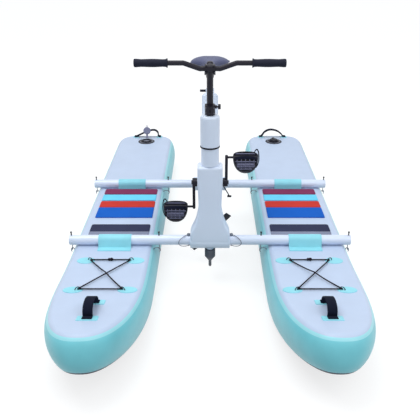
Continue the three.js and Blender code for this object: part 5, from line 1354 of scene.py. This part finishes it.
@dataclass
class Pedal:
    """One rounded pedal: its rim, tray, ribs and boss, its toe strap and the strap's loose tail."""

    side: str
    half: float = 0.065
    rise: float = 0.030
    fall: float = 0.084
    thick: float = 0.020
    rim: float = 0.007
    tilt: float = 38.0
    spindle: tuple[float, float] = (0.184, -0.155)
    heights: dict[str, float] = field(default_factory=lambda: {"left": 0.300, "right": 0.580})
    # Each cross rib's height and its share of the pedal's width
    rows: Pairs = ((0.017, 0.80), (-0.026, 0.86), (-0.054, 0.72), (-0.066, 0.52))
    rib_gap: float = 0.022
    tail: tuple[tuple[float, float, float], ...] = (
        (0.044, -0.010, 0.020), (0.052, -0.013, 0.034), (0.060, -0.013, 0.038), (0.0665, -0.010, 0.026),
        (0.0685, -0.008, 0.004), (0.068, -0.007, -0.018), (0.062, -0.009, -0.040), (0.052, -0.010, -0.058))

    @property
    def tilted(self) -> Matrix:
        """Returns the matrix that takes the level pedal to its place."""
        x, y = self.spindle
        return (Matrix.Translation((SIDES[self.side] * x, y, self.heights[self.side]))
                @ Matrix.Rotation(math.radians(-self.tilt), 4, "X"))

    def outline(self, inset: float) -> list[tuple[float, float]]:
        """Returns the pedal's outline: low corners above the spindle and a deep round below.

        Args:
            inset: How far it is drawn in.

        Returns:
            The points.
        """
        spots = []
        for k in range(56):
            turn = math.tau * k / 56
            c, s = math.cos(turn), math.sin(turn)
            tall, power, bow = (self.rise, 0.55, 0.80) if s > 0 else (self.fall, 0.95, 0.86)
            spots.append(((self.half - inset) * math.copysign(abs(c) ** bow, c),
                          (tall - inset) * math.copysign(abs(s) ** power, s)))
        return spots

    def shell(self) -> Form:
        """Forms the rim, the tray and the boss that the spindle goes through.

        Returns:
            The form.
        """
        end, bore, boss = self.half - 0.004, 0.0066, 0.011
        form = Form().turn([(bore, -end), (boss - 0.0005, -end), (boss, 0.002 - end), (boss, end - 0.002),
                            (boss - 0.0005, end), (bore, end), (bore, -end)], Axis.X, 28)
        form.moved(self.tilted)
        form.plate([self.outline(0.0), self.outline(self.rim)], self.thick, 0.0025,
                   self.tilted @ front_plane(0.0))
        return form.plate([self.outline(self.rim - 0.001)], 0.004, 0.0008,
                          self.tilted @ front_plane(0.005))

    def ribs(self) -> Form:
        """Forms the crossing ribs and the row of blocks between them.

        Returns:
            The form.
        """
        form, gap = Form(), self.rib_gap
        for z, share in self.rows:
            bar = rounded_box(2 * self.half * share, 0.0045, 0.001, 3, (0, z))
            form.plate([bar], 0.014, 0.0008, self.tilted @ front_plane(-0.002))
        for k in range(-2, 3):
            rib = rounded_box(0.0035, 0.074, 0.001, 3, (k * gap, -0.032))
            form.plate([rib], 0.008, 0.0008, self.tilted @ front_plane(-0.0015))
        for k in range(-2, 2):
            block = rounded_box(0.0165, 0.0125, 0.002, 3, ((k + 0.5) * gap, -0.040))
            form.plate([block], 0.009, 0.001, self.tilted @ front_plane(-0.0005))
        return form

    def strap(self) -> Form:
        """Forms the toe strap's arch and its tail, which bulges on the outer side.

        Returns:
            The form.
        """
        arch = []
        for i in range(21):
            turn = math.pi * (1 - i / 20)
            arch.append((self.half * 0.86 * math.cos(turn),
                         -0.008 - 0.046 * math.sin(math.pi * i / 20) ** 0.7, -0.018))
        form = Form().strip(arch, (0, 0, 1), 0.016, 0.0022)
        way = SIDES[self.side]
        form.strip([(way * x, y, z) for x, y, z in self.tail], (0, 1, 0), 0.012, 0.005, 40)
        return form.moved(self.tilted)

    def build(self) -> None:
        """Builds the pedal."""
        body = f"pedal_{self.side}"
        self.shell().piece(f"pedal_shell_{self.side}", BLACK, body, [body], sharp=35)
        # The ribs and blocks take the grey painted highlight
        self.ribs().piece(f"pedal_ribs_{self.side}", PEDAL_RIB_HIGHLIGHT, body, sharp=35)
        self.strap().piece(f"toe_strap_{self.side}", WEB, body, sharp=60)


@dataclass
class Drive:
    """The crank, pedals, gears and shafts, the leg, the propeller and the leg's lock lever."""

    # Each piece's name, its node, finish and body, and the rounding of its edges
    dressings: tuple[tuple[str, str, Finish, str, float], ...] = (
        ("pinion_and_shaft", "pinion_shaft", STEEL, "pinion", 0.0002),
        ("shaft_middle", "middle_shaft", STEEL, "middle_shaft", 0.0002),
        ("shaft_low", "lower_shaft", STEEL, "lower_shaft", 0.0002),
        ("shaft_prop", "prop_shaft", STEEL, "propeller", 0.0002),
        ("propeller_blades", "propeller", BLACK, "propeller", 0.0006),
        ("leg_upper_tube", "leg_stage", TUBE, "leg_stage", 0.0008),
        ("leg_lower_pod", "leg_pod", GRAPHITE, "leg_pod", 0.0008),
        ("lock_handle", "leg_lock_lever", ALLOY, "leg_lock_lever", 0.0006))

    def build(self) -> None:
        """Builds the drive."""
        dressed("axle_and_crown", "crank_axle", STEEL, "crank", 0.0003)
        for side in SIDES:
            dressed(f"crank_{side}", f"crank_arm_{side}", ALLOY, "crank", 0.0012)
            Pedal(side).build()
        for row in self.dressings:
            dressed(*row)


@dataclass
class Seat:
    """The seat post, its lever, the clamp with rails and the padded saddle."""

    length: float = 0.268
    width: float = 0.212
    height: float = 0.056
    nose_y: float = -0.062
    base_z: float = 0.981
    nose_half: float = 0.022
    nose_share: float = 0.46
    groove: float = 0.005
    crown: float = 0.12
    around: int = 40
    along: int = 48
    # Place along the saddle, breadth (2 at the widest), top and underside, as shares
    stations: tuple[tuple[float, ...], ...] = (
        (0, 0.16, 0.72, 0.3), (0.03, 0.3, 0.84, 0.12), (0.1, 0.38, 0.92, 0.06), (0.25, 0.46, 0.95, 0.04),
        (0.4, 0.62, 0.95, 0.02), (0.52, 0.95, 0.96, 0), (0.64, 1.45, 0.98, 0), (0.76, 1.9, 1, 0.02),
        (0.87, 2, 1, 0.06), (0.95, 1.78, 0.95, 0.16), (0.985, 1.4, 0.86, 0.3), (1, 0.9, 0.72, 0.46))

    def saddle(self) -> None:
        """Builds the padded saddle, with its groove, crown and drawn-in flanks."""
        rings: list[Ring] = []
        widest = self.width / 4
        for k in range(self.along + 1):
            at = (1 - math.cos(math.pi * k / self.along)) / 2
            half_share, top, low = blend_rows(self.stations, at)
            blend = min(1.0, max(0.0, (half_share - self.nose_share) / (2 - self.nose_share)))
            half = self.nose_half * half_share / self.nose_share * (1 - blend) + widest * half_share * blend
            ring: Ring = []
            for j in range(self.around):
                turn = math.tau * j / self.around
                c, s = math.cos(turn), math.sin(turn)
                across = math.copysign(abs(c) ** 0.75, c)
                rise = math.copysign(abs(s) ** 0.7, s)
                z = self.height * ((top + low) / 2 + (top - low) / 2 * rise)
                if s > 0:
                    z -= self.groove * (1 - abs(2 * at - 1) ** 4) * math.exp(-((c / 0.16) ** 2))
                    z -= self.crown * blend * (half * across) ** 2 / (widest * 2)
                drawn = 1 - 0.22 * abs(rise) if rise < 0 else 1.0
                ring.append(Vector((half * across * drawn, self.nose_y + self.length * at, self.base_z + z)))
            rings.append(ring)
        made = Form().loft(rings).piece("saddle_pad", SADDLE, "seat", ["saddle"], sharp=80)

    def build(self) -> None:
        """Builds the seat."""
        self.saddle()
        dressed("seat_tube", "seat_post", ALLOY, "seat", 0.0006)
        dressed("clamp_and_rails", "rail_clamp", ALLOY, "seat", 0.0008)
        dressed("post_lever", "seat_lever", ALLOY, "seat_lever", 0.0008)


def blend_rows(rows: Sequence[Sequence[float]], at: float) -> list[float]:
    """Returns a table's values at a share of the way, smoothed between its rows.

    Args:
        rows: The rows, each starting with its share.
        at: The share wanted.

    Returns:
        The values.
    """
    last = len(rows) - 1
    k = max(i for i in range(last) if rows[i][0] <= at or i == 0)
    span = rows[k + 1][0] - rows[k][0]
    t = min(1.0, max(0.0, (at - rows[k][0]) / span))
    values = []
    for c in range(1, len(rows[0])):
        one, two = rows[k][c], rows[k + 1][c]
        before, after = rows[max(k - 1, 0)], rows[min(k + 2, last)]
        pull_a = (two - before[c]) / (rows[k + 1][0] - before[0]) * span if k > 0 else two - one
        pull_b = (after[c] - one) / (after[0] - rows[k][0]) * span if k + 1 < last else two - one
        values.append((2 * t ** 3 - 3 * t * t + 1) * one + (t ** 3 - 2 * t * t + t) * pull_a
                      + (3 * t * t - 2 * t ** 3) * two + (t ** 3 - t * t) * pull_b)
    return values


@dataclass
class Studio:
    """The camera, the lights, the world and the pale floor."""

    eye: tuple[float, float, float] = (0.0, -3.102, 1.653)
    pitch: float = 25.0
    sensor: float = 36.0
    focal: float = 603.0
    frame_size: float = 420.0
    horizon: float = -0.1
    low_sky: float = 0.35
    high_sky: float = 1.0
    floor_tone: float = 0.36
    floor_glow: float = 0.72
    floor_size: float = 40.0
    floor_gap: float = 0.0005
    sky_tint: tuple[float, float, float, float] = (0.93, 0.96, 1.0, 1.0)
    aim: tuple[float, float, float] = (0.0, 0.0, 0.4)
    lamp_size: float = 3.0
    # Each lamp's name, place and power
    lamps: tuple[tuple[str, tuple[float, float, float], float], ...] = (
        ("key", (-1.2, -0.6, 4.6), 82.0), ("fill", (2.6, -2.6, 3.4), 40.0))

    def camera(self) -> None:
        """Sets the photograph's camera."""
        data = bpy.data.cameras.new("view")
        data.sensor_width = self.sensor
        data.lens = self.focal / self.frame_size * self.sensor
        made = bpy.data.objects.new("view", data)
        made.location = self.eye
        made.rotation_euler = (math.radians(90 - self.pitch), 0, 0)
        bpy.context.scene.collection.objects.link(made)
        bpy.context.scene.camera = made

    def lamp(self, name: str, place: Point, power: float) -> None:
        """Adds a soft lamp that looks at the bike.

        Args:
            name: The lamp's name.
            place: Where it stands.
            power: Its power in watts.
        """
        data = bpy.data.lights.new(name, "AREA")
        data.shape = "SQUARE"
        data.size = self.lamp_size
        data.energy = power
        made = bpy.data.objects.new(name, data)
        made.location = place
        made.rotation_euler = (Vector(self.aim) - Vector(place)).to_track_quat("-Z", "Y").to_euler()
        bpy.context.scene.collection.objects.link(made)

    def seen(self, tree: bpy.types.NodeTree) -> bpy.types.NodeSocket:
        """Adds a value that is 1 for rays of the camera, of gloss and through glass.

        Args:
            tree: The nodes that take it.

        Returns:
            The value.
        """
        rays = tree.nodes.new("ShaderNodeLightPath").outputs
        value = rays["Is Camera Ray"]
        for name in ("Is Glossy Ray", "Is Transmission Ray"):
            value = joined(tree, value, rays[name], "MAXIMUM")
        return value

    def world(self) -> None:
        """Sets a pale sky, brightest overhead, seen as white by the camera and by reflections."""
        world = bpy.data.worlds.new("sky")
        bpy.context.scene.world = world
        world.use_nodes = True
        nodes, links = world.node_tree.nodes, world.node_tree.links
        sky = nodes["Background"]
        place = nodes.new("ShaderNodeTexCoord")
        parts = nodes.new("ShaderNodeSeparateXYZ")
        fade = nodes.new("ShaderNodeMapRange")
        fade.inputs["From Min"].default_value = self.horizon
        fade.inputs["To Min"].default_value = self.low_sky
        fade.inputs["To Max"].default_value = self.high_sky
        links.new(place.outputs["Generated"], parts.inputs["Vector"])
        links.new(parts.outputs["Z"], fade.inputs["Value"])
        links.new(fade.outputs["Result"], sky.inputs["Strength"])
        sky.inputs["Color"].default_value = self.sky_tint
        white = nodes.new("ShaderNodeBackground")
        white.inputs["Color"].default_value = (1, 1, 1, 1)
        white.inputs["Strength"].default_value = 1.0
        mix = nodes.new("ShaderNodeMixShader")
        links.new(self.seen(world.node_tree), mix.inputs["Fac"])
        links.new(sky.outputs["Background"], mix.inputs[1])
        links.new(white.outputs["Background"], mix.inputs[2])
        links.new(mix.outputs["Shader"], nodes["World Output"].inputs["Surface"])

    def floor(self) -> None:
        """Lays a wide pale floor that keeps a faint shadow."""
        form = bmesh.new()
        bmesh.ops.create_grid(form, x_segments=1, y_segments=1, size=self.floor_size)
        data = bpy.data.meshes.new("floor")
        form.to_mesh(data)
        form.free()
        made = bpy.data.objects.new("floor", data)
        made.location = (0, 0, -self.floor_gap)
        bpy.context.scene.collection.objects.link(made)
        material = bpy.data.materials.new("floor_white")
        material.use_nodes = True
        nodes, links = material.node_tree.nodes, material.node_tree.links
        shader = nodes["Principled BSDF"]
        shader.inputs["Base Color"].default_value = (self.floor_tone, self.floor_tone, self.floor_tone, 1)
        shader.inputs["Roughness"].default_value = 0.9
        shader.inputs["Specular IOR Level"].default_value = 0.0
        shader.inputs["Emission Color"].default_value = (1, 1, 1, 1)
        gain = nodes.new("ShaderNodeMath")
        gain.operation = "MULTIPLY"
        gain.inputs[1].default_value = self.floor_glow
        links.new(self.seen(material.node_tree), gain.inputs[0])
        links.new(gain.outputs["Value"], shader.inputs["Emission Strength"])
        data.materials.append(material)

    def build(self) -> None:
        """Builds the studio."""
        self.camera()
        self.world()
        self.floor()
        for row in self.lamps:
            self.lamp(*row)
        bpy.context.scene.view_settings.view_transform = "Standard"


def main() -> None:
    """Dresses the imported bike."""
    logging.basicConfig(level=logging.INFO, format="%(message)s")
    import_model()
    Studio().build()
    for side in SIDES:
        Pontoon(side).build()
    for part in (CrossTubes(), Frame(), Steering(), Drive(), Seat()):
        part.build()


if __name__ == "__main__":
    main()
